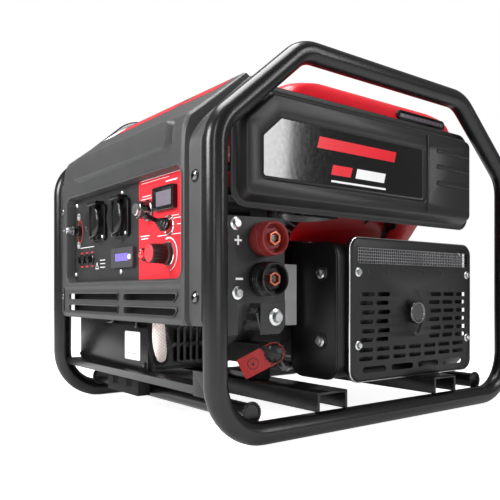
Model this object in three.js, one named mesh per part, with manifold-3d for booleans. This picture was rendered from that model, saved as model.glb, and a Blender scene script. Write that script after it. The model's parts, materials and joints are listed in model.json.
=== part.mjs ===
// Engine driven welder: a tube frame that carries a petrol engine, a welding alternator, its control panel,
// its terminals, a fuel tank, a muffler and a starting battery.
// Millimetres, +Z up. The origin is the middle of the footprint, on the ground. The panel faces -X and the
// welding terminals and the muffler face -Y.
import * as THREE from "three";
import { mergeVertices } from "three/addons/utils/BufferGeometryUtils.js";
import Module from "manifold-3d";

const wasm = await Module();
wasm.setup();

// ---- driving dimensions ----
const TUBE_R = 16; // frame tube, 32 mm across its flats
const FRAME_X = 332; // half the distance between the upright tubes' axes
const FRAME_Y = 262.5; // half the distance between the two loops' planes
const FRAME_TOP = 544; // height of the upper tube's axis
const CHAMFER_LOW = 417; // where an upright would meet its sloping corner
const CHAMFER_IN = 146; // how far the sloping corner runs in along X
const BEND_LOW = 76; // bottom bend radius
const BEND_HIGH = 60; // bend radius at both ends of the sloping corner
const GAP = 0.3; // clearance between pieces that rest on each other
const INNER_Y = FRAME_Y - TUBE_R - GAP; // half the width free between the loops

const PANEL_FACE = -350; // outer face of the panel cover
const PANEL_FLANGE = -341; // its set-back side flanges
const PLATE_X = -333; // front face of the control plate
const CRANK_Z = 205; // height of the crankshaft
const RAIL_TOP = 60.3; // top of the engine's mounting rails
const FOOT_Z = 85.6; // underside of the engine's and alternator's feet
const TANK_FLOOR = 434; // underside of the fuel tank
const MUFFLER_X = [-79, 255]; // ends of the muffler body
const SHIELD_Y = -238; // outer face of the heat shield
const TERMINAL_Y = -240; // outer face of the terminal plate

// ---- materials ----
function finish(color, roughness, metalness) {
  return new THREE.MeshStandardMaterial({ color, roughness, metalness });
}
const BLACK_PAINT = finish(0x1d1e20, 0.45, 0.2);
const DARK_PLASTIC = finish(0x26272a, 0.55, 0);
const BLACK_PLASTIC = finish(0x0d0d0e, 0.35, 0);
const RED_PAINT = finish(0xc4161c, 0.25, 0.1);
const GREY_PLATE = finish(0x3a3c40, 0.5, 0.2);
const ZINC = finish(0xb9bcc0, 0.3, 0.9);
const CHROME = finish(0xd8dadd, 0.1, 1);
const CAST_ALLOY = finish(0x9a9da1, 0.5, 0.7);
const CAST_IRON = finish(0x4a4b4e, 0.6, 0.6);
const RUBBER = finish(0x111111, 0.9, 0);
const LENS = finish(0x9a9fb5, 0.15, 0);
const SLEEVE = finish(0xe4dfd6, 0.8, 0);
const STEEL = finish(0x8d9094, 0.4, 0.8);

// ---- geometry helpers ----
const at = (geometry, x, y, z) => geometry.translate(x, y, z);

function block(x, y, z) {
  const box = new THREE.BoxGeometry(x[1] - x[0], y[1] - y[0], z[1] - z[0]);
  return at(box, (x[0] + x[1]) / 2, (y[0] + y[1]) / 2, (z[0] + z[1]) / 2);
}

function turnTo(geometry, axis) {
  if (axis === "x") geometry.rotateZ(-Math.PI / 2);
  if (axis === "z") geometry.rotateX(Math.PI / 2);
  return geometry;
}

function rod(axis, radius, from, to, centre, sides = 16) {
  const drum = turnTo(new THREE.CylinderGeometry(radius, radius, to - from, sides), axis);
  const middle = (from + to) / 2;
  if (axis === "x") return at(drum, middle, centre[0], centre[1]);
  if (axis === "y") return at(drum, centre[0], middle, centre[1]);
  return at(drum, centre[0], centre[1], middle);
}

// profile points are [radius, position along the axis] and close on the axis or on themselves
function turned(axis, profile, centre, sides = 24) {
  const points = profile.map(([r, s]) => new THREE.Vector2(r, s));
  if (THREE.ShapeUtils.area(points) < 0) points.reverse();
  const lathe = new THREE.LatheGeometry(points, sides);
  if (axis === "x") return at(lathe.rotateZ(-Math.PI / 2), 0, centre[0], centre[1]);
  if (axis === "y") return at(lathe, centre[0], 0, centre[1]);
  return at(lathe.rotateX(Math.PI / 2), centre[0], centre[1], 0);
}

function outline(points) {
  return new THREE.Shape(points.map(([a, b]) => new THREE.Vector2(a, b)));
}

function roundedOutline(a, b, radius) {
  const shape = new THREE.Shape();
  shape.moveTo(a[0] + radius, b[0]);
  shape.lineTo(a[1] - radius, b[0]);
  shape.absarc(a[1] - radius, b[0] + radius, radius, -Math.PI / 2, 0, false);
  shape.lineTo(a[1], b[1] - radius);
  shape.absarc(a[1] - radius, b[1] - radius, radius, 0, Math.PI / 2, false);
  shape.lineTo(a[0] + radius, b[1]);
  shape.absarc(a[0] + radius, b[1] - radius, radius, Math.PI / 2, Math.PI, false);
  shape.lineTo(a[0], b[0] + radius);
  shape.absarc(a[0] + radius, b[0] + radius, radius, Math.PI, 1.5 * Math.PI, false);
  return shape;
}

// an outline drawn in (Y, Z) and drawn out along X
function alongX(shape, from, to, curveSegments = 4) {
  const solid = new THREE.ExtrudeGeometry(shape, { depth: to - from, bevelEnabled: false, curveSegments });
  return at(solid.rotateY(Math.PI / 2).rotateX(Math.PI / 2), from, 0, 0);
}

// an outline drawn in (X, Z) and drawn out along Y
function alongY(shape, from, to, curveSegments = 4) {
  const solid = new THREE.ExtrudeGeometry(shape, { depth: to - from, bevelEnabled: false, curveSegments });
  return at(solid.rotateX(Math.PI / 2), 0, to, 0);
}

function toSolid(geometry) {
  const bare = geometry.clone();
  bare.deleteAttribute("normal");
  bare.deleteAttribute("uv");
  const merged = mergeVertices(bare, 1e-3);
  const triVerts = new Uint32Array(merged.index.array);
  const vertProperties = merged.attributes.position.array;
  return new wasm.Manifold(new wasm.Mesh({ numProp: 3, vertProperties, triVerts }));
}

function toGeometry(solid) {
  const mesh = solid.getMesh();
  const geometry = new THREE.BufferGeometry();
  geometry.setAttribute("position", new THREE.BufferAttribute(mesh.vertProperties, 3));
  geometry.setIndex(new THREE.BufferAttribute(mesh.triVerts, 1));
  return geometry;
}

const joined = (...parts) => toGeometry(parts.map(toSolid).reduce((a, b) => a.add(b)));
const cutFrom = (body, ...tools) =>
  toGeometry(tools.map(toSolid).reduce((a, b) => a.subtract(b), toSolid(body)));
const common = (a, b) => toGeometry(toSolid(a).intersect(toSolid(b)));

// a route through straight runs and bends, stepped only at its listed points
class Route extends THREE.Curve {
  constructor(points, closed) {
    super();
    this.points = points;
    this.closed = closed;
  }
  getPoint(t) {
    const last = this.points.length - (this.closed ? 0 : 1);
    return this.points[Math.round(t * last) % this.points.length].clone();
  }
  getPointAt(u) {
    return this.getPoint(u);
  }
  getTangentAt(u) {
    const count = this.points.length;
    const last = count - (this.closed ? 0 : 1);
    const here = Math.round(u * last);
    const before = this.closed ? (here - 1 + count) % count : Math.max(here - 1, 0);
    const after = this.closed ? (here + 1) % count : Math.min(here + 1, last);
    return this.points[after].clone().sub(this.points[before]).normalize();
  }
}

// corners replaced by arcs of the given radius, each in a few steps
function rounded(corners, closed, steps = 5) {
  const points = [];
  corners.forEach(({ p, r }, i) => {
    const count = corners.length;
    if (!r || (!closed && (i === 0 || i === count - 1))) {
      points.push(p.clone());
      return;
    }
    const back = corners[(i - 1 + count) % count].p.clone().sub(p).normalize();
    const on = corners[(i + 1) % count].p.clone().sub(p).normalize();
    const half = back.angleTo(on) / 2;
    const reach = r / Math.tan(half);
    const centre = p.clone().addScaledVector(back.clone().add(on).normalize(), r / Math.sin(half));
    const start = p.clone().addScaledVector(back, reach).sub(centre);
    const turn = Math.PI - 2 * half;
    const axis = back.clone().cross(on).normalize().negate();
    for (let k = 0; k <= steps; k += 1) {
      points.push(start.clone().applyAxisAngle(axis, (turn * k) / steps).add(centre));
    }
  });
  return points;
}

// a round bar along a route; its sides are flat at the top, bottom and both flanks
function bar(corners, radius, { closed = false, sides = 12, steps = 5 } = {}) {
  const points = rounded(corners, closed, steps);
  const reach = radius / Math.cos(Math.PI / sides);
  const section = [];
  for (let i = 0; i < sides; i += 1) {
    const angle = ((i + 0.5) * 2 * Math.PI) / sides;
    section.push([reach * Math.cos(angle), reach * Math.sin(angle)]);
  }
  const stepCount = points.length - (closed ? 0 : 1);
  const extrudePath = new Route(points, closed);
  const solid = new THREE.ExtrudeGeometry(outline(section), { steps: stepCount, extrudePath });
  return closed ? withoutLids(solid) : solid;
}

// a closed ring has no ends, so only the side faces are kept
function withoutLids(solid) {
  const sides = solid.groups[1];
  const position = solid.attributes.position.array.slice(sides.start * 3, (sides.start + sides.count) * 3);
  const ring = new THREE.BufferGeometry();
  ring.setAttribute("position", new THREE.BufferAttribute(position, 3));
  return ring;
}

const corner = (x, y, z, r = 0) => ({ p: new THREE.Vector3(x, y, z), r });

// ---- frame ----
function frameLoop(y) {
  const inner = FRAME_X - CHAMFER_IN;
  return bar(
    [
      corner(0, y, FRAME_TOP),
      corner(-inner, y, FRAME_TOP, BEND_HIGH),
      corner(-FRAME_X, y, CHAMFER_LOW, BEND_HIGH),
      corner(-FRAME_X, y, TUBE_R, BEND_LOW),
      corner(FRAME_X, y, TUBE_R, BEND_LOW),
      corner(FRAME_X, y, CHAMFER_LOW, BEND_HIGH),
      corner(inner, y, FRAME_TOP, BEND_HIGH),
    ],
    TUBE_R,
    { closed: true },
  );
}

const CROSS_X = 262; // where the low cross tubes meet the two loops
const CROSS_Z = 40;
const CROSS_R = 13;
const crossTube = (x) => bar([corner(x, -INNER_Y, CROSS_Z), corner(x, INNER_Y, CROSS_Z)], CROSS_R);

// an angle bar between the loops, with an upright tab at its near end
function frontRail() {
  const angle = [[-330, 68], [-326, 68], [-326, 76], [-300, 76], [-300, 80], [-330, 80]];
  const rail = alongY(outline(angle), -INNER_Y, INNER_Y);
  return joined(rail, block([-330, -326], [-238, -206], [66, 100]));
}

// a channel, open underneath, that lies across the two bottom tubes
function mountRail(x) {
  const low = 2 * TUBE_R + GAP;
  const wide = 30;
  const wall = 4;
  const channel = [
    [x - wide, low], [x - wide + wall, low], [x - wide + wall, RAIL_TOP - wall],
    [x + wide - wall, RAIL_TOP - wall], [x + wide - wall, low], [x + wide, low],
    [x + wide, RAIL_TOP], [x - wide, RAIL_TOP],
  ];
  return alongY(outline(channel), -FRAME_Y - 6, FRAME_Y + 6);
}

const RAIL_X = [-130, 140]; // under the alternator and under the crankcase
const MOUNT_Y = 95;
const rubberMount = (x, y) => rod("z", 18, RAIL_TOP + GAP, FOOT_Z - GAP, [x, y], 14);

// two hangers and two side strips welded into one cradle under the tank
const CRADLE_X = [-120, 210]; // places of the hangers
const CRADLE_TOP = 488; // hidden behind the rims of the side covers
function tankCradle() {
  const side = INNER_Y - 8;
  const floor = TANK_FLOOR - GAP;
  const hangers = CRADLE_X.map((x) => {
    const shape = outline([
      [-side, floor - 4], [side, floor - 4], [side, CRADLE_TOP], [side - 4, CRADLE_TOP],
      [side - 4, floor], [-side + 4, floor], [-side + 4, CRADLE_TOP], [-side, CRADLE_TOP],
    ]);
    return alongX(shape, x - 16, x + 16);
  });
  const strips = [-1, 1].map((s) => {
    const y = s * (side - 20);
    return block([CRADLE_X[0] - 40, CRADLE_X[1] + 40], [y - 14, y + 14], [floor - 4, floor]);
  });
  return joined(...hangers, ...strips);
}

// ---- covers ----
const COVER_FACE = FRAME_Y - 3; // outer face of a side cover
const COVER_FLANGE = FRAME_Y - 19; // its set-back rim
const COVER_RIGHT_END = 226;

// outline of the raised field of a side cover: its front upper corner follows the frame's sloping corner
function coverField(grow) {
  const g = grow;
  return [
    [-277 - g, 336 - g], [COVER_RIGHT_END + g, 336 - g], [COVER_RIGHT_END + g, 474 + g],
    [-232 - g * 0.5, 474 + g], [-277 - g, 434 + g * 0.5],
  ];
}

function sideCover(side) {
  const face = side * COVER_FACE;
  const flange = side * COVER_FLANGE;
  const inward = (d) => side * (COVER_FACE - d);
  const span = (a, b) => (a < b ? [a, b] : [b, a]);
  const field = frustumY(coverField(0), coverField(9), face, flange - side * 0.01);
  const hollow = frustumY(coverField(-3), coverField(6), inward(3), flange - side * 6);
  const rim = alongY(outline(coverField(18)), ...span(flange, flange - side * 3));
  const recess = alongY(outline(recessOutline(0)), ...span(face + side, inward(4)));
  const backing = alongY(outline(recessOutline(4)), ...span(inward(2), inward(7)));
  const shell = toSolid(field).add(toSolid(rim)).subtract(toSolid(hollow)).add(toSolid(backing));
  return toGeometry(shell.subtract(toSolid(recess)));
}

function recessOutline(grow) {
  const g = grow;
  return [
    [-254 - g, 357 - g], [99 + g, 357 - g], [99 + g, 450 + g], [-219 - g * 0.5, 450 + g],
    [-254 - g, 419 + g * 0.5],
  ];
}

// a solid between one outline at y0 and a second outline, with as many points, at y1
function frustumY(first, second, y0, y1) {
  const solid = new THREE.ExtrudeGeometry(outline(first), { depth: 1, bevelEnabled: false });
  const position = solid.attributes.position;
  for (let i = 0; i < position.count; i += 1) {
    const x = position.getX(i);
    const z = position.getY(i);
    const far = position.getZ(i) > 0.5;
    const k = first.findIndex((p) => Math.abs(p[0] - x) < 1e-3 && Math.abs(p[1] - z) < 1e-3);
    const [px, pz] = far ? second[k] : first[k];
    position.setXYZ(i, px, far ? y1 : y0, pz);
  }
  return y1 > y0 ? reversed(solid) : solid;
}

function reversed(geometry) {
  const position = geometry.attributes.position;
  for (let i = 0; i < position.count; i += 3) {
    const keep = [position.getX(i), position.getY(i), position.getZ(i)];
    position.setXYZ(i, position.getX(i + 1), position.getY(i + 1), position.getZ(i + 1));
    position.setXYZ(i + 1, ...keep);
  }
  return geometry;
}

// the moulded cover round the control plate: an upright face that bends back along the sloping corner
const RECESS_Y = [-209, 195];
const RECESS_Z = [221, 374];
function panelCover() {
  const faceEdge = [
    [PANEL_FACE, 160], [PANEL_FACE, 391], [PANEL_FACE + 2, 424], [PANEL_FACE + 8, 440], [-248, 514],
    [-248, 510], [-336, 436], [-344, 420], [-346, 391], [-346, 164], [PANEL_FLANGE, 164], [PANEL_FLANGE, 160],
  ];
  const face = alongY(outline(faceEdge), -219, 219);
  const wrap = [
    [PANEL_FLANGE, 160], [PANEL_FLANGE, 430], [-337, 443], [-248, 514], [-248, 510], [-334, 438],
    [-338, 426], [-338, 160],
  ];
  const flanges = [[-244, -215], [215, 244]].map(([a, b]) => alongY(outline(wrap), a, b));
  const cheeks = [[-219, -215], [215, 219]].map(([a, b]) => block([-347, -339], [a, b], [160, 432]));
  const trayY = [RECESS_Y[0] - 3, RECESS_Y[1] + 3];
  const trayZ = [RECESS_Z[0] - 3, RECESS_Z[1] + 3];
  const tray = alongX(roundedOutline(trayY, trayZ, 18), PANEL_FACE + 3, PLATE_X - GAP);
  const well = alongX(roundedOutline(RECESS_Y, RECESS_Z, 16), PANEL_FACE - 2, PLATE_X + 2);
  const louvres = [[191, 203], [171, 183]].flatMap((z) =>
    [[-204, -37], [-20, 184]].map((y) => block([PANEL_FACE - 2, -330], y, z)));
  const holes = [-230, 230].flatMap((y) => [197, 355].map((z) => rod("x", 3, -345, -330, [y, z], 10)));
  return cutFrom(joined(face, ...flanges, ...cheeks, tray), well, ...louvres, ...holes);
}

// ---- control plate and what is on it ----
const controlPlate = () => block([PLATE_X, PLATE_X + 3], [RECESS_Y[0] - 8, RECESS_Y[1] + 8],
  [RECESS_Z[0] - 8, RECESS_Z[1] + 8]);

const SOCKET_Y = [84, -2]; // middles of the two mains sockets
const SOCKET_Z = 322;
const SOCKET_R = 22;
function socket(y) {
  const flange = roundedOutline([y - 29, y + 29], [SOCKET_Z - 31, SOCKET_Z + 31], 8);
  const body = alongX(flange, PLATE_X - 10, PLATE_X - GAP);
  const well = rod("x", SOCKET_R, PLATE_X - 20, PLATE_X - 3, [y, SOCKET_Z], 20);
  return cutFrom(body, well);
}

// a round lid with a hinge tongue on top; it lies against the socket's rim when shut
const LID_X = PLATE_X - 10 - GAP;
function socketLid(y) {
  const profile = [[0, LID_X - 11], [17, LID_X - 11], [26, LID_X - 7], [26, LID_X], [0, LID_X]];
  const disc = turned("x", profile, [y, SOCKET_Z], 20);
  const tongue = block([LID_X - 9, LID_X], [y - 12, y + 12], [SOCKET_Z + 18, SOCKET_Z + 36]);
  return joined(disc, tongue);
}

const KEY_AT = [-88, 325];
const keySwitch = () => turned("x",
  [[0, PLATE_X - 20], [10, PLATE_X - 20], [13, PLATE_X - 17], [13, PLATE_X - 4], [16, PLATE_X - 4],
    [16, PLATE_X - GAP], [0, PLATE_X - GAP]], KEY_AT, 20);

// the part of the switch that turns, with its key slot
function keyBarrel() {
  const back = PLATE_X - 20 - GAP;
  const disc = turned("x", [[0, back - 3], [8, back - 3], [9, back - 2], [9, back], [0, back]], KEY_AT, 20);
  const [y, z] = KEY_AT;
  const slot = block([back - 4, back - 1.5], [y - 1.2, y + 1.2], [z - 5, z + 5]);
  return cutFrom(disc, slot);
}

const DISPLAY_Y = [-172, -112];
const DISPLAY_Z = [320, 354];
const display = () => cutFrom(
  alongX(roundedOutline(DISPLAY_Y, DISPLAY_Z, 3), PLATE_X - 8, PLATE_X - GAP),
  block(
    [PLATE_X - 9, PLATE_X - 5],
    [DISPLAY_Y[0] + 5, DISPLAY_Y[1] - 5],
    [DISPLAY_Z[0] + 5, DISPLAY_Z[1] - 5],
  ));

const METER_Y = [-48, 28];
const METER_Z = [243, 275];
const hourMeter = () => cutFrom(
  alongX(roundedOutline(METER_Y, METER_Z, 3), PLATE_X - 7, PLATE_X - GAP),
  block([PLATE_X - 8, PLATE_X - 5.5], [-32, 14], [253, 266]));

// a toggle in a ribbed boot; at rest it is tilted up about a pivot in front of the plate
const LEVER_AT = [-151, 298];
const LEVER_PIVOT = PLATE_X - 8;
const LEVER_TILT = THREE.MathUtils.degToRad(20);
function modeLever() {
  const profile = [
    [0, 7.4], [5, 5.6], [8, 3], [10.5, -1], [9, -4], [10, -5], [7.5, -9], [8, -10], [5, -14], [3.5, -17],
    [3, -29], [4, -32], [3.5, -35], [0, -36],
  ];
  const lever = turned("x", profile, [0, 0], 16).rotateY(LEVER_TILT);
  return at(lever, LEVER_PIVOT, LEVER_AT[0], LEVER_AT[1]);
}

const LAMP_AT = [-83, 260];
const lamp = () => turned("x", [[0, -14], [5, -13], [7, -10], [7, -8], [10, -8], [10, -GAP], [0, -GAP]]
  .map(([r, s]) => [r, PLATE_X + s]), LAMP_AT, 16);

const KNOB_AT = [-148, 258];
const currentKnob = () => turned("x",
  [[0, -33], [12, -33], [13.5, -31], [15, -6], [18, -4], [18, -GAP], [0, -GAP]]
    .map(([r, s]) => [r, PLATE_X + s]), KNOB_AT, 24);

const BREAKER_Y = [162, 140, 118];
const BREAKER_Z = 262;
const breakerButton = (y) => turned("x", [[0, -11], [5, -11], [6, -10], [6, -GAP], [0, -GAP]]
  .map(([r, s]) => [r, PLATE_X + s]), [y, BREAKER_Z], 14);

const EARTH_AT = [172, 315];
const groundStud = () => turned("x", [[0, -27], [4, -27], [4, -8], [9, -8], [9, -GAP], [0, -GAP]]
  .map(([r, s]) => [r, PLATE_X + s]), EARTH_AT, 14);

function wingNut() {
  const x = PLATE_X - 20;
  const hub = turned("x", [[4.3, x - 5], [7, x - 5], [8, x + 5], [4.3, x + 5], [4.3, x - 5]], EARTH_AT, 14);
  const wings = [-1, 1].map((s) => {
    const [y, z] = EARTH_AT;
    const span = [y + s * 17, y + s * 6.5];
    return block([x - 9, x + 1], [Math.min(...span), Math.max(...span)], [z - 1.5, z + 1.5]);
  });
  return joined(hub, ...wings);
}

// ---- boxes behind and under the panel ----
const BOX_X = [-308, -200];
const BOX_Y = [-38, 232];
const BOX_Z = [80.3, 176];
function electricsBox() {
  const shell = block(BOX_X, BOX_Y, BOX_Z);
  const wall = 3;
  const room = block(
    [BOX_X[0] + wall, BOX_X[1] - wall],
    [BOX_Y[0] + wall, BOX_Y[1] - wall],
    [BOX_Z[0] + wall, BOX_Z[1] + wall],
  );
  const slots = [];
  for (let column = 0; column < 5; column += 1) {
    for (const z of [[92, 116], [122, 146]]) {
      const x = BOX_X[0] + 47 + column * 12;
      slots.push(alongY(roundedOutline([x, x + 6], z, 2.99), BOX_Y[0] - 1, BOX_Y[0] + 5, 2));
    }
  }
  const grommet = rod("y", 10, BOX_Y[0] - 1, BOX_Y[0] + 5, [BOX_X[0] + 24, 100], 14);
  return cutFrom(shell, room, grommet, ...slots);
}

// the laminated smoothing reactor that hangs under the box
function weldChoke() {
  const core = block([-299.5, -277], [12, 128], [33, BOX_Z[0] - GAP]);
  const windows = [[34, 54], [86, 106]].map((y) => block([-310, -270], y, [46, 66]));
  return cutFrom(core, ...windows);
}

const WIRE_ROUTE = [
  [-322, -62, 166], [-320, -64, 150], [-314, -66, 132], [-304, -64, 116], [-294, -56, 105],
  [-287, -47, 101], [-284, -38, 100],
];
function wireSleeve() {
  const points = new THREE.CatmullRomCurve3(WIRE_ROUTE.map((p) => new THREE.Vector3(...p))).getPoints(12);
  return bar(points.map((p) => ({ p, r: 0 })), 7.5, { sides: 10 });
}

function battery() {
  const caseBody = block([-188, -14], [150, 226], [RAIL_TOP + GAP, 205]);
  const lid = block([-190, -12], [148, 228], [205, 222]);
  const posts = [-170, -32].map((x) => rod("z", 8, 220, 232, [x, 165], 12));
  return joined(caseBody, lid, ...posts);
}

// ---- welding terminals ----
function terminalPlate() {
  const plate = outline([[-316, 189], [-198, 189], [-198, 309], [-316, 306]]);
  const ear = outline([[-240, 145], [-206, 145], [-196, 157], [-196, 192], [-240, 192]]);
  const tab = block([-316, -280], [TERMINAL_Y, TERMINAL_Y + 3], [146, 190]);
  return joined(alongY(plate, TERMINAL_Y, TERMINAL_Y + 3), alongY(ear, TERMINAL_Y + 1, TERMINAL_Y + 4), tab);
}

const TERMINAL_X = -240;
const TERMINAL_Z = { positive: 277, negative: 222 };
// an insulating cup with the copper stud standing in its floor
const CUP_DEPTH = 32;
function terminalCup(z) {
  const y = TERMINAL_Y - GAP;
  return turned("y", [
    [0, y], [24, y], [24, y - CUP_DEPTH], [19, y - CUP_DEPTH], [18, y - 8], [9, y - 8],
    [9, y - 22], [5, y - 22], [5, y - 29], [0, y - 29],
  ], [TERMINAL_X, z], 20);
}

// ---- fuel tank ----
const TANK_X = [-196, 262];
const TANK_Y = 226;
const CAP_AT = [60, 0];
function fuelTank() {
  const shape = outline([
    [-TANK_Y, TANK_FLOOR], [TANK_Y, TANK_FLOOR], [TANK_Y, 508], [TANK_Y - 8, 522], [TANK_Y - 26, 530],
    [60, 537], [-60, 537], [-TANK_Y + 26, 530], [-TANK_Y + 8, 522], [-TANK_Y, 508],
  ]);
  const ends = outline([
    [TANK_X[0], TANK_FLOOR - 1], [TANK_X[1], TANK_FLOOR - 1], [TANK_X[1], 508], [TANK_X[1] - 30, 540],
    [TANK_X[0] + 52, 540], [TANK_X[0], 492],
  ]);
  const body = common(alongX(shape, TANK_X[0], TANK_X[1]), alongY(ends, -TANK_Y - 1, TANK_Y + 1));
  const cuts = CRADLE_X.flatMap((x) => [-1, 1].map((s) => {
    const y = [s * (TANK_Y - 2), s * (TANK_Y + 20)];
    return block([x - 20, x + 20], [Math.min(...y), Math.max(...y)], [TANK_FLOOR - 1, 545]);
  }));
  const filler = turned("z", [[0, 500], [36, 500], [36, 541], [0, 541]], CAP_AT, 20);
  return cutFrom(joined(body, filler), ...cuts);
}

const fuelCap = () => turned("z",
  [[0, 541.3], [40, 541.3], [41, 546], [38, 556], [14, 559.5], [0, 559.5]], CAP_AT, 20);

// ---- alternator ----
const STATOR_X = [-150, -12];
const STATOR_R = 98;
const BORE_R = 62;
function stator() {
  const ring = turned("x", [
    [BORE_R, STATOR_X[0]], [STATOR_R, STATOR_X[0]], [STATOR_R, STATOR_X[1]], [BORE_R, STATOR_X[1]],
    [BORE_R, STATOR_X[0]],
  ], [0, CRANK_Z], 32);
  const foot = block([RAIL_X[0] - 18, RAIL_X[0] + 18], [-113, 113], [FOOT_Z, FOOT_Z + 34]);
  return cutFrom(joined(ring, foot), rod("x", BORE_R, STATOR_X[0] - 5, STATOR_X[1] + 5, [0, CRANK_Z], 32));
}

function endCover() {
  const inner = STATOR_X[0] - GAP;
  return turned("x", [
    [18.5, -196], [30, -196], [34, -192], [80, -190], [95, -180], [98, -172], [98, inner], [91, inner],
    [90, -172], [78, -184], [34, -186], [24, -180], [18.5, -180], [18.5, -196],
  ], [0, CRANK_Z], 32);
}

const rotor = () => turned("x", [
  [0, -194], [18, -194], [18, -142], [58, -142], [58, -22], [18, -22], [18, 206], [0, 206],
], [0, CRANK_Z], 24);

// ---- engine ----
// the cylinder leans towards -Y; positions along it are measured from the crankshaft
const LEAN = THREE.MathUtils.degToRad(65);
const UP = [-Math.cos(LEAN), Math.sin(LEAN)];
const OUT = [-Math.sin(LEAN), -Math.cos(LEAN)];
const onCylinder = (t, s) => [t * UP[0] + s * OUT[0], CRANK_Z + t * UP[1] + s * OUT[1]];
const DECK_T = 70;
const DECK = [onCylinder(DECK_T - GAP, 60), onCylinder(DECK_T - GAP, -60)];

const CASE_X = [-5, 150];
function crankcase() {
  const section = outline([
    [-95, FOOT_Z + 14], [-113, FOOT_Z + 14], [-113, FOOT_Z], [113, FOOT_Z], [113, FOOT_Z + 14],
    [95, FOOT_Z + 14], [95, 235], [70, 262], [DECK[1][0], DECK[1][1]], [DECK[0][0], DECK[0][1]], [-95, 225],
  ]);
  const casting = alongX(section, CASE_X[0], CASE_X[1]);
  return cutFrom(casting, rod("x", 18.6, CASE_X[0] - 5, CASE_X[1] + 5, [0, CRANK_Z], 20));
}

function cylinder() {
  const slab = (t0, t1, s, x0, x1) => alongX(
    outline([onCylinder(t0, s), onCylinder(t1, s), onCylinder(t1, -s), onCylinder(t0, -s)]), x0, x1);
  const fins = [];
  for (let t = 82; t < 200; t += 14) fins.push(slab(t, t + 4, 55, 5, 125));
  return joined(slab(DECK_T, 206, 44, 16, 114), ...fins, slab(206, 222, 50, 12, 118));
}

// sheet that guides the cooling air along the cylinder
function cylinderCowl() {
  const sheet = outline([[-114.5, 292], [-117.5, 292], [-130, 330], [-148, 372], [-152, 392], [-149, 392],
    [-145, 372], [-127, 330]]);
  const side = outline([[-82, 290], [141, 290], [141, 393], [60, 372], [-30, 344], [-66, 326], [-82, 306]]);
  return common(alongX(sheet, -82, 141), alongY(side, -160, -90));
}

const FLYWHEEL_X = [160, 198];
const flywheel = () => turned("x", [
  [18.5, FLYWHEEL_X[0]], [98, FLYWHEEL_X[0]], [98, FLYWHEEL_X[0] + 3], [106, FLYWHEEL_X[0] + 3],
  [106, FLYWHEEL_X[0] + 14], [98, FLYWHEEL_X[0] + 14], [92, FLYWHEEL_X[1]], [18.5, FLYWHEEL_X[1]],
  [18.5, FLYWHEEL_X[0]],
], [0, CRANK_Z], 28);

// the blower housing: a drum round the flywheel that opens out upwards towards the cylinder
const FAN_R = 113;
const FAN_X = [153, 222];
function fanOutline(inset) {
  const shape = new THREE.Shape();
  const r = FAN_R - inset;
  const i = inset;
  shape.moveTo(-r * Math.cos(0.25), CRANK_Z + r * Math.sin(0.25));
  shape.absarc(0, CRANK_Z, r, Math.PI - 0.25, 2 * Math.PI + 0.2, false);
  shape.lineTo(150 - i, 290);
  shape.lineTo(138 - i, 322 - i);
  shape.lineTo(40, 351 - i);
  shape.lineTo(-90, 366 - i);
  shape.lineTo(-142 + i * 0.5, 360 - i);
  shape.lineTo(-152 + i, 340 - i * 0.5);
  shape.lineTo(-115 + i, 296 + i * 0.5);
  return shape;
}

function fanCover() {
  const drum = alongX(fanOutline(0), FAN_X[0], FAN_X[1], 12);
  const room = alongX(fanOutline(3.5), FAN_X[0] - 2, FAN_X[1] - 3.5, 12);
  const mouth = rod("x", 78, FAN_X[1] - 6, FAN_X[1] + 2, [0, CRANK_Z], 24);
  return cutFrom(drum, room, mouth);
}

const RECOIL_X = [FAN_X[1] + GAP, 262];
const HANDLE_AT = [-62, CRANK_Z + 40]; // where the rope leaves the housing
function recoilStarter() {
  const [x0, x1] = RECOIL_X;
  const dome = turned("x", [
    [0, x1], [0, x1 - 4], [60, x1 - 4], [84, x1 - 12], [90, x0 + 4], [90, x0], [98, x0], [98, x0 + 4],
    [95, x1 - 14], [66, x1 - 1], [30, x1], [0, x1],
  ], [0, CRANK_Z], 28);
  const guide = rod("x", 9, x1 - 16, x1 + 6, HANDLE_AT, 12);
  return cutFrom(joined(dome, guide), rod("x", 4, x1 - 20, x1 + 10, HANDLE_AT, 10));
}

// the pull handle rests on the rope guide
function recoilHandle() {
  const x = RECOIL_X[1] + 6 + GAP;
  const [y, z] = HANDLE_AT;
  const grip = alongX(roundedOutline([y - 11, y + 11], [z - 42, z + 42], 10.9), x, x + 20);
  return joined(grip, rod("x", 10, x + 10, x + 24, HANDLE_AT, 12));
}

// ---- exhaust ----
const MUFFLER_Y = [-224, -116];
const MUFFLER_Z = [66, 284];
const PIPE_X = -26;
const PIPE_Y = -102;
const PIPE_LOW = 262;
function muffler() {
  const body = alongX(roundedOutline(MUFFLER_Y, MUFFLER_Z, 26), MUFFLER_X[0], MUFFLER_X[1], 5);
  const inlet = rod("y", 9, MUFFLER_Y[1] - 30, MUFFLER_Y[1] + 2, [PIPE_X, PIPE_LOW], 12);
  const outlet = rod("x", 13, 232, 262, [-170, 240], 16);
  const outletBore = rod("x", 10, 225, 266, [-170, 240], 16);
  return cutFrom(joined(body, outlet), inlet, outletBore);
}

function heatShield() {
  const x = [-60, 263];
  const z = [61, 292];
  const pan = alongY(roundedOutline(x, z, 20), SHIELD_Y, SHIELD_Y + 13, 6);
  const inside = roundedOutline([x[0] + 2, x[1] - 2], [z[0] + 2, z[1] - 2], 18);
  const room = alongY(inside, SHIELD_Y + 2, SHIELD_Y + 14, 6);
  const opening = roundedOutline([x[0] + 14, x[1] - 14], [250, 276], 6);
  const window = alongY(opening, SHIELD_Y - 1, SHIELD_Y + 3, 2);
  return cutFrom(pan, room, window);
}

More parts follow.
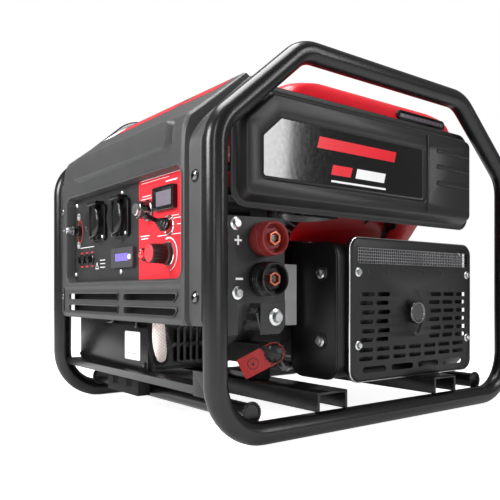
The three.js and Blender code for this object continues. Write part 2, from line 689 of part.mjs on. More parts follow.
// the pipe leaves the head, drops behind the cowl and enters the muffler's inner face
function exhaustPipe() {
  return joined(
    rod("x", 11, PIPE_X, 4.5, [PIPE_Y, 372], 12),
    rod("z", 11, PIPE_LOW, 372, [PIPE_X, PIPE_Y], 12),
    rod("y", 8.5, MUFFLER_Y[1] - 12, PIPE_Y, [PIPE_X, PIPE_LOW], 12),
    at(new THREE.SphereGeometry(11.2, 12, 8), PIPE_X, PIPE_Y, 372),
    at(new THREE.SphereGeometry(11.2, 12, 8), PIPE_X, PIPE_Y, PIPE_LOW),
  );
}

// ---- intake ----
const CARB_AT = [65, 366];
function carburettor() {
  const throat = rod("y", 20, 2, 122, CARB_AT, 16);
  const body = block([CARB_AT[0] - 24, CARB_AT[0] + 24], [34, 80], [CARB_AT[1] - 26, CARB_AT[1] + 26]);
  const bowl = rod("z", 22, CARB_AT[1] - 56, CARB_AT[1] - 20, [CARB_AT[0], 57], 16);
  return joined(throat, body, bowl);
}

function airFilter() {
  const body = alongY(roundedOutline([0, 140], [300, 420], 18), 122 + GAP, 196);
  const lid = alongY(roundedOutline([-4, 144], [296, 424], 20), 196, 226);
  const knob = rod("y", 10, 226, 238, [70, 360], 12);
  return joined(body, lid, knob);
}

const CHOKE_AT = [57, 366];
function chokeLever() {
  const x = CARB_AT[0] + 24 + GAP;
  const hub = rod("x", 7, x, x + 6, CHOKE_AT, 14);
  const arm = block([x + 1, x + 5], [CHOKE_AT[0] - 3, CHOKE_AT[0] + 3], [CHOKE_AT[1], CHOKE_AT[1] + 40]);
  return joined(hub, arm);
}

// ---- starter and oil ----
function starterMotor() {
  const [y, z] = [128, 246];
  const motor = rod("x", 31, 20, 146, [y, z], 20);
  const solenoid = rod("x", 13, 40, 130, [y - 2, z + 40], 14);
  return joined(motor, solenoid);
}

// the oil filler's cap looks out past the terminal bracket, towards the front right corner
const OIL_AT = [-130, -133, 105];
const OIL_TURN = THREE.MathUtils.degToRad(-37.8);
function oilCap() {
  const cap = turned("y", [[0, -6], [10, -6], [16, -3], [16, 6], [0, 6]], [0, 0], 18);
  return at(cap.rotateZ(OIL_TURN), ...OIL_AT);
}

// ---- assembly ----
const group = new THREE.Group();
function add(name, geometry, material) {
  const mesh = new THREE.Mesh(geometry, material);
  mesh.name = name;
  group.add(mesh);
}

add("frame_loop_right", frameLoop(-FRAME_Y), BLACK_PAINT);
add("frame_loop_left", frameLoop(FRAME_Y), BLACK_PAINT);
add("cross_tube_front", crossTube(-CROSS_X), BLACK_PAINT);
add("cross_tube_rear", crossTube(CROSS_X), BLACK_PAINT);
add("front_rail", frontRail(), BLACK_PAINT);
add("mount_rail_front", mountRail(RAIL_X[0]), BLACK_PAINT);
add("mount_rail_rear", mountRail(RAIL_X[1]), BLACK_PAINT);
RAIL_X.flatMap((x) => [-MOUNT_Y, MOUNT_Y].map((y) => [x, y])).forEach(([x, y], i) => {
  add(`rubber_mount_${i + 1}`, rubberMount(x, y), RUBBER);
});
add("tank_cradle", tankCradle(), BLACK_PAINT);
add("side_cover_right", sideCover(-1), DARK_PLASTIC);
add("side_cover_left", sideCover(1), DARK_PLASTIC);
add("panel_cover", panelCover(), DARK_PLASTIC);
add("control_plate", controlPlate(), GREY_PLATE);
SOCKET_Y.forEach((y, i) => {
  add(`socket_${i + 1}`, socket(y), BLACK_PLASTIC);
  add(`socket_lid_${i + 1}`, socketLid(y), BLACK_PLASTIC);
});
add("key_switch", keySwitch(), CHROME);
add("key_barrel", keyBarrel(), CHROME);
add("display", display(), LENS);
add("hour_meter", hourMeter(), GREY_PLATE);
add("mode_lever", modeLever(), RUBBER);
add("lamp", lamp(), RED_PAINT);
add("current_knob", currentKnob(), BLACK_PLASTIC);
BREAKER_Y.forEach((y, i) => add(`breaker_button_${i + 1}`, breakerButton(y), BLACK_PLASTIC));
add("ground_stud", groundStud(), BLACK_PLASTIC);
add("wing_nut", wingNut(), ZINC);
add("electrics_box", electricsBox(), BLACK_PAINT);
add("weld_choke", weldChoke(), CAST_IRON);
add("wire_sleeve", wireSleeve(), SLEEVE);
add("battery", battery(), BLACK_PLASTIC);
add("terminal_plate", terminalPlate(), GREY_PLATE);
add("positive_terminal", terminalCup(TERMINAL_Z.positive), RED_PAINT);
add("negative_terminal", terminalCup(TERMINAL_Z.negative), BLACK_PLASTIC);
add("fuel_tank", fuelTank(), RED_PAINT);
add("fuel_cap", fuelCap(), BLACK_PLASTIC);
add("stator", stator(), CAST_IRON);
add("end_cover", endCover(), CAST_ALLOY);
add("rotor", rotor(), STEEL);
add("crankcase", crankcase(), CAST_ALLOY);
add("cylinder", cylinder(), CAST_ALLOY);
add("cylinder_cowl", cylinderCowl(), RED_PAINT);
add("flywheel", flywheel(), CAST_IRON);
add("fan_cover", fanCover(), RED_PAINT);
add("recoil_starter", recoilStarter(), BLACK_PAINT);
add("recoil_handle", recoilHandle(), BLACK_PLASTIC);
add("muffler", muffler(), BLACK_PAINT);
add("heat_shield", heatShield(), BLACK_PAINT);
add("exhaust_pipe", exhaustPipe(), STEEL);
add("air_filter", airFilter(), BLACK_PLASTIC);
add("carburettor", carburettor(), CAST_ALLOY);
add("choke_lever", chokeLever(), STEEL);
add("starter_motor", starterMotor(), BLACK_PAINT);
add("oil_cap", oilCap(), BLACK_PLASTIC);

// the origin is the middle of the footprint
const extent = new THREE.Box3().setFromObject(group);
group.position.x = -(extent.min.x + extent.max.x) / 2;

export default group;
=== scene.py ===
"""Looks of an engine driven welder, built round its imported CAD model. Sizes are in millimetres in the CAD
model's own frame, and P() turns them into metres."""
import json
import math

import bpy
import bmesh
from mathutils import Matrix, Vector, geometry

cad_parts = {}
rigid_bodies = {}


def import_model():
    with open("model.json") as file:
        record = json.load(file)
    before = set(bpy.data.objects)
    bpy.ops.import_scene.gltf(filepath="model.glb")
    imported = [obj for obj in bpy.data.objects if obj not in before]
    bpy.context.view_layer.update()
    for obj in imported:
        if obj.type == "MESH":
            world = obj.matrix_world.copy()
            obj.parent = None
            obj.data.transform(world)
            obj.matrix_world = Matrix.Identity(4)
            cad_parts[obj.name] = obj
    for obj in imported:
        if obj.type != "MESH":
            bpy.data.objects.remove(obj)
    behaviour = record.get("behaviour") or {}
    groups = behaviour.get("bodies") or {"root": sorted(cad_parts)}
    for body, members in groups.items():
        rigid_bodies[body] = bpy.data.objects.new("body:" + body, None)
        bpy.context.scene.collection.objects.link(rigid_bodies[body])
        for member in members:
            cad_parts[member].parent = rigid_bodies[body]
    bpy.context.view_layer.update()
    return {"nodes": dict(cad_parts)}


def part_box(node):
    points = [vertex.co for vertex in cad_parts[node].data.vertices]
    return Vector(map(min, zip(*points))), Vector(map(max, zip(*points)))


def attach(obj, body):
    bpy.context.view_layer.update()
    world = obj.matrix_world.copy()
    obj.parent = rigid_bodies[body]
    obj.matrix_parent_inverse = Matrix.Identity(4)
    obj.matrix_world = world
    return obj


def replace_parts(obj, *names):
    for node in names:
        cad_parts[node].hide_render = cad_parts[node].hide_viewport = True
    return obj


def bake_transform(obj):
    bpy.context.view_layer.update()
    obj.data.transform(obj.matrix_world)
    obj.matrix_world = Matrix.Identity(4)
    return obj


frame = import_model()

MM = 0.001
WELD = 0.01 * MM
LOOP_LOW, LOOP_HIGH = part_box("frame_loop_right")
ORIGIN_X = (LOOP_LOW.x + LOOP_HIGH.x) / 2
TUBE_R = (LOOP_HIGH.y - LOOP_LOW.y) / 2 / MM
FRAME_X = (LOOP_HIGH.x - LOOP_LOW.x) / 2 / MM - TUBE_R
FRAME_Y = -(LOOP_HIGH.y + LOOP_LOW.y) / 2 / MM
FRAME_TOP = LOOP_HIGH.z / MM - TUBE_R
PLATE_X = (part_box("control_plate")[0].x - ORIGIN_X) / MM
PANEL_FACE = (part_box("panel_cover")[0].x - ORIGIN_X) / MM
CRANK_Z = (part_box("rotor")[0].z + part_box("rotor")[1].z) / 2 / MM


def P(x, y, z):
    """A point given in millimetres in the CAD model's own frame."""
    return Vector((x * MM + ORIGIN_X, y * MM, z * MM))


def limits(node):
    """A CAD node's extent in millimetres: (x0, x1), (y0, y1), (z0, z1)."""
    low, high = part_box(node)
    return (
        ((low.x - ORIGIN_X) / MM, (high.x - ORIGIN_X) / MM),
        (low.y / MM, high.y / MM),
        (low.z / MM, high.z / MM),
    )


def add(nodes, kind, **values):
    """A new shader node with its inputs set; an underscore in an input's name stands for a space."""
    node = nodes.new("ShaderNode" + kind)
    for key, value in values.items():
        node.inputs[key.replace("_", " ")].default_value = value
    return node


def surface(name, base, rough, metal=0.0, vary=0.12, grain=900.0, bump=0.05, patch=18.0, coat=0.0,
            streak=(1, 1, 1), specular=0.5):
    """Paint, plastic or metal: drifting colour and roughness, a fine grain, and for metals a drawn streak."""
    material = bpy.data.materials.new("look_" + name)
    material.use_nodes = True
    nodes, links = material.node_tree.nodes, material.node_tree.links
    shader = nodes["Principled BSDF"]
    fixed = {"Metallic": metal, "Specular IOR Level": specular, "Coat Weight": coat, "Coat Roughness": 0.06}
    for key, value in fixed.items():
        shader.inputs[key].default_value = value
    where = add(nodes, "TexCoord")
    broad = add(nodes, "TexNoise", Scale=patch, Detail=4)
    fine = add(nodes, "TexNoise", Scale=grain, Detail=3)
    stretch = add(nodes, "Mapping", Scale=streak)
    links.new(where.outputs["Object"], broad.inputs["Vector"])
    links.new(where.outputs["Object"], stretch.inputs["Vector"])
    links.new(stretch.outputs["Vector"], fine.inputs["Vector"])
    tint = add(nodes, "ValToRGB")
    for element, place, share in zip(tint.color_ramp.elements, (0.3, 0.7), (1 - vary, 1 + vary)):
        element.position = place
        element.color = [min(c * share, 1) for c in base] + [1]
    links.new(broad.outputs["Fac"], tint.inputs["Fac"])
    links.new(tint.outputs["Color"], shader.inputs["Base Color"])
    gloss = add(nodes, "MapRange", To_Min=max(rough - 0.07, 0.03), To_Max=min(rough + 0.09, 1))
    links.new(fine.outputs["Fac"], gloss.inputs["Value"])
    links.new(gloss.outputs["Result"], shader.inputs["Roughness"])
    relief = add(nodes, "Bump", Strength=bump, Distance=0.0006)
    links.new(fine.outputs["Fac"], relief.inputs["Height"])
    links.new(relief.outputs["Normal"], shader.inputs["Normal"])
    return material


def weave(name, base, dark, scale):
    """Braided sleeve: two crossing sets of ridges, in the colour and in the relief."""
    material = surface(name, base, 0.8, vary=0.1, grain=2500, bump=0.1)
    nodes, links = material.node_tree.nodes, material.node_tree.links
    shader = nodes["Principled BSDF"]
    where = add(nodes, "TexCoord")
    knit = add(nodes, "Math")
    knit.operation = "MAXIMUM"
    for k, turn in enumerate((0.9, -0.9)):
        lean = add(nodes, "Mapping", Rotation=(0, turn, 0.4))
        links.new(where.outputs["Object"], lean.inputs["Vector"])
        wave = add(nodes, "TexWave", Scale=scale, Distortion=0.6)
        links.new(lean.outputs["Vector"], wave.inputs["Vector"])
        links.new(wave.outputs["Fac"], knit.inputs[k])
    tint = add(nodes, "ValToRGB")
    for element, colour in zip(tint.color_ramp.elements, (dark, base)):
        element.color = [*colour, 1]
    links.new(knit.outputs["Value"], tint.inputs["Fac"])
    links.new(tint.outputs["Color"], shader.inputs["Base Color"])
    relief = add(nodes, "Bump", Strength=0.6, Distance=0.001)
    links.new(knit.outputs["Value"], relief.inputs["Height"])
    links.new(relief.outputs["Normal"], shader.inputs["Normal"])
    return material


FRAME_PAINT = surface("frame_paint", (0.0045, 0.0046, 0.005), 0.24, vary=0.18, grain=1400,
                      bump=0.06, specular=0.42)
# The panel cover and the side covers are one grey plastic: the panel cover's lighter grey is painted light
# from the key lamp on its face, and the side covers' darker grey is painted shade.
PANEL_GREY_LIT = surface("cover_moulding", (0.042, 0.0422, 0.0435), 0.46, vary=0.1, grain=2600,
                bump=0.16, specular=0.36)
SIDE_GREY_SHADED = surface("side_cover_moulding", (0.011, 0.0108, 0.0112), 0.34, vary=0.1, grain=2600,
                     bump=0.12, specular=0.36)
PLATE = surface("plate_paint", (0.022, 0.0222, 0.023), 0.42, vary=0.12, grain=3200, bump=0.2,
                specular=0.34)
PLATE_RED = surface("plate_red", (0.72, 0.022, 0.034), 0.4, vary=0.08, grain=3200, bump=0.12,
                    specular=0.3)
BLACK = surface("black_plastic", (0.0035, 0.0035, 0.004), 0.24, vary=0.2, grain=1800,
                bump=0.05, coat=0.1, specular=0.4)
BLACK_MATT = surface("black_matt", (0.005, 0.005, 0.0055), 0.55, vary=0.2, grain=1500,
                     bump=0.15, specular=0.3)
GLOSS = surface("gloss_black", (0.002, 0.002, 0.0024), 0.09, vary=0.3, grain=160, bump=0.05,
                coat=0.3, specular=0.4)
TANK_RED = surface("tank_red", (0.7, 0.006, 0.018), 0.28, vary=0.05, grain=500, bump=0.02,
                   coat=0.08, specular=0.3)
RED_SHEET = surface("shroud_red", (0.42, 0.003, 0.006), 0.34, vary=0.12, grain=900, bump=0.06,
                    coat=0.1, specular=0.35)
RED_PLASTIC = surface("red_plastic", (0.17, 0.014, 0.013), 0.42, vary=0.12, grain=1600,
                      bump=0.08, specular=0.4)
ZINC = surface("zinc", (0.6, 0.61, 0.62), 0.26, 1.0, vary=0.16, grain=1200, bump=0.06, patch=160)
CHROME = surface("chrome", (0.72, 0.73, 0.74), 0.15, 1.0, vary=0.05, grain=700, bump=0.01)
HANGER_GREY = surface("hanger_grey", (0.6, 0.59, 0.59), 0.4, 0.35, vary=0.1, grain=1600, bump=0.1)
COPPER = surface("copper", (0.5, 0.16, 0.1), 0.32, 1.0, vary=0.22, grain=1500, bump=0.08, patch=120)
ALLOY = surface("die_cast", (0.2, 0.203, 0.207), 0.5, 0.75, vary=0.18, grain=2200, bump=0.35,
                patch=50)
IRON = surface("laminations", (0.03, 0.03, 0.032), 0.52, 0.4, vary=0.2, grain=1100, bump=0.5,
               streak=(9, 1, 1))
HEAT_BLACK = surface("heat_paint", (0.0045, 0.0045, 0.0048), 0.36, vary=0.2, grain=2400,
                     bump=0.16, specular=0.38)
RUBBER = surface("rubber", (0.004, 0.004, 0.0042), 0.7, vary=0.2, grain=900, bump=0.2, specular=0.3)
STEEL = surface("steel", (0.36, 0.36, 0.37), 0.34, 1.0, vary=0.15, grain=900, bump=0.1,
                streak=(1, 12, 1))
WHITE = surface("white_print", (0.8, 0.8, 0.8), 0.45, vary=0.03, grain=900, bump=0.02)
LCD = surface("lcd_grey", (0.16, 0.14, 0.17), 0.3, vary=0.08, grain=900, bump=0.01, coat=0.1)
LCD_LILAC = surface("lcd_lilac", (0.2, 0.15, 0.52), 0.25, vary=0.05, grain=300, bump=0.01, coat=0.5)
METER_GREY = surface("meter_grey", (0.045, 0.045, 0.047), 0.45, vary=0.08, grain=2600, bump=0.1,
                     specular=0.35)
LAMP_RED = surface("lamp_red", (0.75, 0.01, 0.012), 0.1, vary=0.1, grain=200, bump=0.02,
                   coat=0.8)
TAG_RED = surface("tag_red", (0.6, 0.025, 0.028), 0.42, vary=0.06, grain=1600, bump=0.06)
BRAID = weave("glass_braid", (0.9, 0.87, 0.85), (0.7, 0.36, 0.31), 80)
GUNMETAL = surface("gunmetal", (0.16, 0.158, 0.158), 0.2, 1.0, vary=0.15, grain=1400, bump=0.05)
KNOB_GRIP = surface("knob_grip", (0.02, 0.004, 0.0045), 0.34, vary=0.15, grain=1600, bump=0.1)
KNOB_RED = surface("knob_red", (0.75, 0.035, 0.05), 0.4, vary=0.06, grain=1600, bump=0.05)
SILVER_BRAID = weave("silver_braid", (0.5, 0.5, 0.51), (0.12, 0.12, 0.12), 320)


# ---------------------------------------------------------------- mesh tools
class Build:
    """Collects points and faces for one piece."""

    def __init__(self):
        self.points = []
        self.faces = []

    def loft(self, loops, first_cap=False, last_cap=False, closed=True):
        """Strips of quads between loops of equal length; a cap fills a loop with one face."""
        start = len(self.points)
        count = len(loops[0])
        for loop in loops:
            self.points += [Vector(p) for p in loop]
        for k in range(len(loops) - 1):
            for i in range(count if closed else count - 1):
                j = (i + 1) % count
                a, b = start + k * count, start + (k + 1) * count
                self.faces.append((a + i, a + j, b + j, b + i))
        if first_cap:
            self.faces.append(tuple(start + i for i in reversed(range(count))))
        if last_cap:
            last = start + (len(loops) - 1) * count
            self.faces.append(tuple(last + i for i in range(count)))
        return self

    def sheet(self, outer, holes):
        """A flat face with holes."""
        start = len(self.points)
        loops = [[Vector(p) for p in loop] for loop in (outer, *holes)]
        for loop in loops:
            self.points += loop
        for face in geometry.tessellate_polygon(loops):
            self.faces.append(tuple(start + i for i in face))
        return self

    def mesh(self, name):
        """The points and faces as a mesh, with doubled points welded."""
        mesh = bpy.data.meshes.new(name)
        mesh.from_pydata([tuple(p) for p in self.points], [], self.faces)
        bm = bmesh.new()
        bm.from_mesh(mesh)
        bmesh.ops.remove_doubles(bm, verts=bm.verts, dist=WELD)
        bmesh.ops.recalc_face_normals(bm, faces=bm.faces)
        bm.to_mesh(mesh)
        bm.free()
        return mesh

    def piece(self, name, material, body="machine", angle=32):
        return place(name, self.mesh(name), material, body, angle)


def place(name, mesh, material, body="machine", angle=32):
    """Makes the object, with its material and smooth shading; without a body, it is left unattached."""
    mesh.shade_smooth()
    mesh.set_sharp_from_angle(angle=math.radians(angle))
    mesh.materials.append(material)
    piece = bpy.data.objects.new(name, mesh)
    bpy.context.scene.collection.objects.link(piece)
    if body:
        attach(piece, body)
    return piece


def to_axis(axis, along, a, b):
    """A point from its place along an axis and its two other coordinates, in X, Y, Z order."""
    if axis == "x":
        return P(along, a, b)
    if axis == "y":
        return P(a, along, b)
    return P(a, b, along)


def ring(axis, along, centre, radius, sides=48, start=0.0):
    """A circle, or with few sides a polygon, square to an axis."""
    steps = (start + 2 * math.pi * i / sides for i in range(sides))
    y, z = centre
    return [to_axis(axis, along, y + radius * math.cos(t), z + radius * math.sin(t)) for t in steps]


def turned(build, axis, centre, profile, sides=48):
    """Adds a turned form; profile points are (radius, place along the axis)."""
    loops = [ring(axis, along, centre, max(radius, 0.02), sides) for radius, along in profile]
    return build.loft(loops, profile[0][0] == 0, profile[-1][0] == 0)


def lathe(name, axis, centre, profile, material, body="machine", sides=48, angle=32):
    return turned(Build(), axis, centre, profile, sides).piece(name, material, body, angle)


def out_from(base, profile):
    """A turned form's profile, whose places along the axis are given from a base."""
    return [(radius, base + along) for radius, along in profile]


def rounded(corners, radius, steps=5):
    """A flat outline with its corners rounded; a corner may carry its own radius as a third value."""
    points = []
    count = len(corners)
    for i, corner in enumerate(corners):
        p = Vector(corner[:2])
        r = corner[2] if len(corner) > 2 else radius
        back = (Vector(corners[i - 1][:2]) - p).normalized()
        on = (Vector(corners[(i + 1) % count][:2]) - p).normalized()
        half = back.angle(on) / 2
        if r < 0.01 or half > 1.56:
            points += [p] * (steps + 1)
            continue
        centre = p + (back + on).normalized() * (r / math.sin(half))
        a = p + back * (r / math.tan(half)) - centre
        b = p + on * (r / math.tan(half)) - centre
        sweep = a.angle_signed(b)
        for k in range(steps + 1):
            t = -sweep * k / steps
            c, d = math.cos(t), math.sin(t)
            points.append(centre + Vector((a.x * c - a.y * d, a.x * d + a.y * c)))
    return points


def rect(a, b, radius, grow=0.0, steps=5):
    """A rounded rectangle, grown or shrunk by an amount all round."""
    r = max(radius + grow, 0.05)
    a0, a1, b0, b1 = a[0] - grow, a[1] + grow, b[0] - grow, b[1] + grow
    return rounded([(a0, b0), (a1, b0), (a1, b1), (a0, b1)], r, steps)


def lay(axis, along, outline):
    """A flat outline laid square to an axis, at a place along it."""
    return [to_axis(axis, along, p[0], p[1]) for p in outline]


def pad(build, axis, outline_at, levels):
    """A form whose outline grows or shrinks along an axis: levels are (place, growth)."""
    return build.loft([lay(axis, along, outline_at(grow)) for along, grow in levels], True, True)


def slab(name, axis, places, outline, material):
    """A flat outline drawn out between places along an axis."""
    return Build().loft([lay(axis, a, outline) for a in places], True, True).piece(name, material)


def block(name, x, y, z, radius, material, body="machine", edge=1.0, axis="x"):
    """A box with rounded upright corners and eased rims, drawn out along one axis."""
    spans = {"x": (x, (y, z)), "y": (y, (x, z)), "z": (z, (x, y))}
    (lo, hi), (a, b) = spans[axis]
    e = min(edge, (hi - lo) / 2.1)
    levels = [(lo, -e), (lo + 0.3 * e, -0.3 * e), (lo + e, 0), (hi - e, 0), (hi - 0.3 * e, -0.3 * e),
              (hi, -e)]
    pad(Build(), axis, lambda g: rect(a, b, max(radius, e + 0.1), g), levels).piece(name, material, body)


def frames_along(points, closed=False):
    """Directions square to a route, carried along it without twist."""
    count = len(points)
    tangents = []
    for i in range(count):
        before = points[i - 1] if (closed or i > 0) else points[0]
        after = points[(i + 1) % count] if (closed or i < count - 1) else points[-1]
        tangents.append((after - before).normalized())
    side = tangents[0].orthogonal().normalized()
    result = []
    for t in tangents:
        side = (side - t * side.dot(t)).normalized()
        result.append((side, t.cross(side)))
    return result


def tube(build, route, radius, sides=20, closed=False, taper=None):
    """Adds a round bar along a route given in metres."""
    loops = []
    for i, (point, (u, v)) in enumerate(zip(route, frames_along(route, closed))):
        r = (taper(i / (len(route) - 1)) if taper else radius) * MM
        steps = (2 * math.pi * k / sides for k in range(sides))
        loops.append([point + (u * math.cos(t) + v * math.sin(t)) * r for t in steps])
    if closed:
        loops.append(loops[0])
    return build.loft(loops, not closed, not closed)


def spline(points, steps=8):
    """A smooth route through given points in millimetres."""
    p = [P(*q) for q in points]
    p = [2 * p[0] - p[1]] + p + [2 * p[-1] - p[-2]]
    route = []
    for a, b, c, d in zip(p, p[1:], p[2:], p[3:]):
        for k in range(steps):
            t = k / steps
            bend = (2 * a - 5 * b + 4 * c - d) * t**2 + (3 * b - a - 3 * c + d) * t**3
            route.append(0.5 * (2 * b + (c - a) * t + bend))
    route.append(p[-2])
    return route


def cable(name, points, radius, material, sides=14):
    tube(Build(), spline(points), radius, sides).piece(name, material)


def bolt(name, axis, along, centre, size, material=ZINC, way=-1, body="machine", washer=1.7):
    """A flanged hex bolt head; size is the head's half width, way says which way along the axis it points."""
    build = Build()
    flange = [(0, 0), (size * washer, 0), (size * washer, way * size * 0.16), (size * 1.1, way * size * 0.36)]
    turned(build, axis, centre, out_from(along, flange), 32)
    build.faces = [f for f in build.faces if len(f) == 4 or f[0] < 32]
    reach = size * 1.155
    heights = [(0.2, reach), (1.0, reach), (1.22, reach * 0.86)]
    build.loft([ring(axis, along + way * size * h, centre, r, 6, 0.3) for h, r in heights], True, True)
    build.piece(name, material, body, 28)


def dome_screw(name, axis, along, centre, size, material=ZINC):
    """A pan-head screw with a crossed slot, looking against its axis."""
    build = Build()
    h = size * 0.62
    rim = [(0, 0), (size, 0), (size, -h * 0.25), (size * 0.86, -h * 0.7), (size * 0.55, -h)]
    turned(build, axis, centre, out_from(along, rim), 32)
    build.faces = [f for f in build.faces if len(f) == 4 or f[0] < 32]
    cross = []
    for quarter in range(4):
        turn = quarter * math.pi / 2 + 0.4
        for a, r in ((-0.32, 0.42), (0.32, 0.42), (0.785, 0.16)):
            way = Vector((math.cos(turn + a), math.sin(turn + a)))
            cross.append(Vector(centre) + way * (size * r))
    top = lay(axis, along - h, cross)
    build.sheet(ring(axis, along - h, centre, size * 0.55, 32), [top])
    build.loft([top, lay(axis, along - h * 0.35, cross)], False, True)
    build.piece(name, material, angle=30)


def print_mark(name, axis, along, outline, material=WHITE, rise=0.25):
    """A printed or stuck-on mark: a thin flat piece standing just off its face."""
    slab(name, axis, (along - 0.03, along - rise), outline, material)


def dress(node, material, width=0.8, segments=2):
    """Gives a CAD node its material, and eases its edges."""
    piece = frame["nodes"][node]
    piece.data.materials.clear()
    piece.data.materials.append(material)
    for polygon in piece.data.polygons:
        polygon.use_smooth = True
    weld = piece.modifiers.new("weld", "WELD")
    weld.merge_threshold = WELD
    ease = piece.modifiers.new("ease", "BEVEL")
    ease.width = width * MM
    ease.segments = segments
    ease.limit_method = "ANGLE"
    ease.angle_limit = math.radians(38)
    ease.harden_normals = True


# ---------------------------------------------------------------- frame
TOP_CORNER_X = FRAME_X - 146
TOP_CORNER_R = 60
SHOULDER_Z = FRAME_TOP - 127
FOOT_R = 76


def frame_tubes():
    """Two closed loops of bent tube, and the cross tubes welded between them."""
    corners = [
        (-TOP_CORNER_X, FRAME_TOP), (-FRAME_X, SHOULDER_Z), (-FRAME_X, TUBE_R, FOOT_R),
        (FRAME_X, TUBE_R, FOOT_R), (FRAME_X, SHOULDER_Z), (TOP_CORNER_X, FRAME_TOP),
    ]
    for side, y in (("right", -FRAME_Y), ("left", FRAME_Y)):
        route = lay("y", y, rounded(corners, TOP_CORNER_R, 12))
        piece = tube(Build(), route, TUBE_R, 32, closed=True).piece(f"frame_tube_{side}", FRAME_PAINT)
        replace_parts(piece, f"frame_loop_{side}")
    for end_name in ("front", "rear"):
        node = f"cross_tube_{end_name}"
        x, y, z = limits(node)
        r = (x[1] - x[0]) / 2
        profile = [(0, y[0]), (r, y[0]), (r, y[0] + 1), (r, y[1] - 1), (r, y[1]), (0, y[1])]
        piece = lathe(f"cross_bar_{end_name}", "y", (sum(x) / 2, sum(z) / 2), profile, FRAME_PAINT)
        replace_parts(piece, node)
        for k, end in enumerate((y[0], y[1])):
            weld_bead(f"weld_{end_name}_{k}", (sum(x) / 2, end - math.copysign(0.4, end), sum(z) / 2), r)


def weld_bead(name, centre, r):
    """The rippled bead where a cross tube meets the loop."""
    route = []
    for i in range(96):
        t = 2 * math.pi * i / 96
        wobble = r + 1.2 + 0.35 * math.sin(24 * t)
        route.append(P(centre[0] + wobble * math.cos(t), centre[1], centre[2] + wobble * math.sin(t)))
    tube(Build(), route, 2.0, 8, closed=True).piece(name, FRAME_PAINT)


# ---------------------------------------------------------------- panel cover
COVER_HALF = 215
FLANGE_HALF = 243.5
FLANGE_X = PANEL_FACE + 9
CREASE_Z = 391
FACE_LOW = 160
RECESS = {"y": (-209, 195), "z": (221, 374), "r": 16}
SLOPE = [(PANEL_FACE, CREASE_Z), (PANEL_FACE + 2, 424), (PANEL_FACE + 8, 440), (PANEL_FACE + 102, 514)]
LOUVRE_ROWS = ((191, 203), (171, 183))
LOUVRE_SPANS = ((-204, -37), (-20, 184))


def face_outline():
    """The moulding from the side, (x, z), from its lower edge to its top edge, with eased bends."""
    return rounded_path([(PANEL_FACE + 5, FACE_LOW), (PANEL_FACE, FACE_LOW + 6), *SLOPE], 5)


def rounded_path(points, radius, steps=4):
    """A flat path whose bends are eased."""
    result = [Vector(points[0])]
    for i in range(1, len(points) - 1):
        p, a, b = Vector(points[i]), Vector(points[i - 1]), Vector(points[i + 1])
        reach = min(radius, (a - p).length * 0.45, (b - p).length * 0.45)
        start, end = p + (a - p).normalized() * reach, p + (b - p).normalized() * reach
        for k in range(steps + 1):
            t = k / steps
            result.append((1 - t) ** 2 * start + 2 * t * (1 - t) * p + t * t * end)
    result.append(Vector(points[-1]))
    return result


def step_up(value, start, width):
    """0 before start, 1 after start + width, smooth between."""
    t = min(max((value - start) / width, 0), 1)
    return t * t * (3 - 2 * t)


def rib_height(y, along):
    """The raised channel on the slope, a long round-cornered field, by distance up from the crease."""
    corner = 15
    over_y = abs(y + 18) - 168 + corner
    over_along = abs(along - 26) - 23 + corner
    edge = math.hypot(max(over_y, 0), max(over_along, 0)) + min(max(over_y, over_along), 0) - corner
    return 8.5 * (1 - step_up(edge, -6, 6))


def face_sheet():
    """The moulded front: a flat face with a step line, then the slope with its channel and stepped sides."""
    outline = face_outline()
    lengths = lengths_along(outline)
    crease = min(range(len(outline)), key=lambda i: abs(outline[i].y - CREASE_Z))
    rows = spaced(lengths, 2.4)
    columns = spaced([-COVER_HALF, -COVER_HALF + 6, COVER_HALF - 6, COVER_HALF], 3.0)
    grid = []
    for s in rows:
        p, out = on_path(outline, lengths, s)
        line = []
        for y in columns:
            edge = min(COVER_HALF - y, y + COVER_HALF)
            lift = rib_height(y, s - lengths[crease]) - 4.0 * (1 - step_up(edge, 0, 6)) ** 2
            lift -= 1.6 * (1 - step_up(p.y, 210, 4)) * step_up(p.y, FACE_LOW + 8, 4)
            q = p + out * lift
            line.append(P(q.x, y, q.y))
        grid.append(line)
    return Build().loft(grid, closed=False).mesh("cover_face")


def spaced(marks, pitch):
    """Values that pass through every mark, no farther apart than the pitch."""
    values = [marks[0]]
    for a, b in zip(marks, marks[1:]):
        count = max(1, math.ceil((b - a) / pitch))
        values += [a + (b - a) * k / count for k in range(1, count + 1)]
    return values


def on_path(points, lengths, s):
    """The point at a distance along a path, and the direction square to it, outward from the machine."""
    for i in range(len(points) - 1):
        if s <= lengths[i + 1] + 1e-6:
            run = max(lengths[i + 1] - lengths[i], 1e-6)
            t = (s - lengths[i]) / run
            d = (points[i + 1] - points[i]).normalized()
            return points[i].lerp(points[i + 1], t), Vector((-d.y, d.x))
    d = (points[-1] - points[-2]).normalized()
    return points[-1], Vector((-d.y, d.x))


def lengths_along(points):
    """How far along a path each of its points lies."""
    lengths = [0.0]
    for a, b in zip(points, points[1:]):
        lengths.append(lengths[-1] + (b - a).length)
    return lengths


def cut_out(mesh, cutters, thickness, offset):
    """A sheet given thickness, then cut by other meshes. The helper objects are removed."""
    scene_objects = bpy.context.scene.collection.objects
    body = bpy.data.objects.new("work", mesh)
    scene_objects.link(body)
    solid = body.modifiers.new("solid", "SOLIDIFY")
    solid.thickness = thickness * MM
    solid.offset = offset
    solid.use_even_offset = True
    helpers = []
    for other in cutters:
        helper = bpy.data.objects.new("cutter", other)
        scene_objects.link(helper)
        cut = body.modifiers.new("cut", "BOOLEAN")
        cut.operation = "DIFFERENCE"
        cut.solver = "EXACT"
        cut.object = helper
        helpers.append(helper)
    bpy.context.view_layer.update()
    evaluated = body.evaluated_get(bpy.context.evaluated_depsgraph_get())
    result = bpy.data.meshes.new_from_object(evaluated)
    for helper in (body, *helpers):
        bpy.data.objects.remove(helper)
    return result


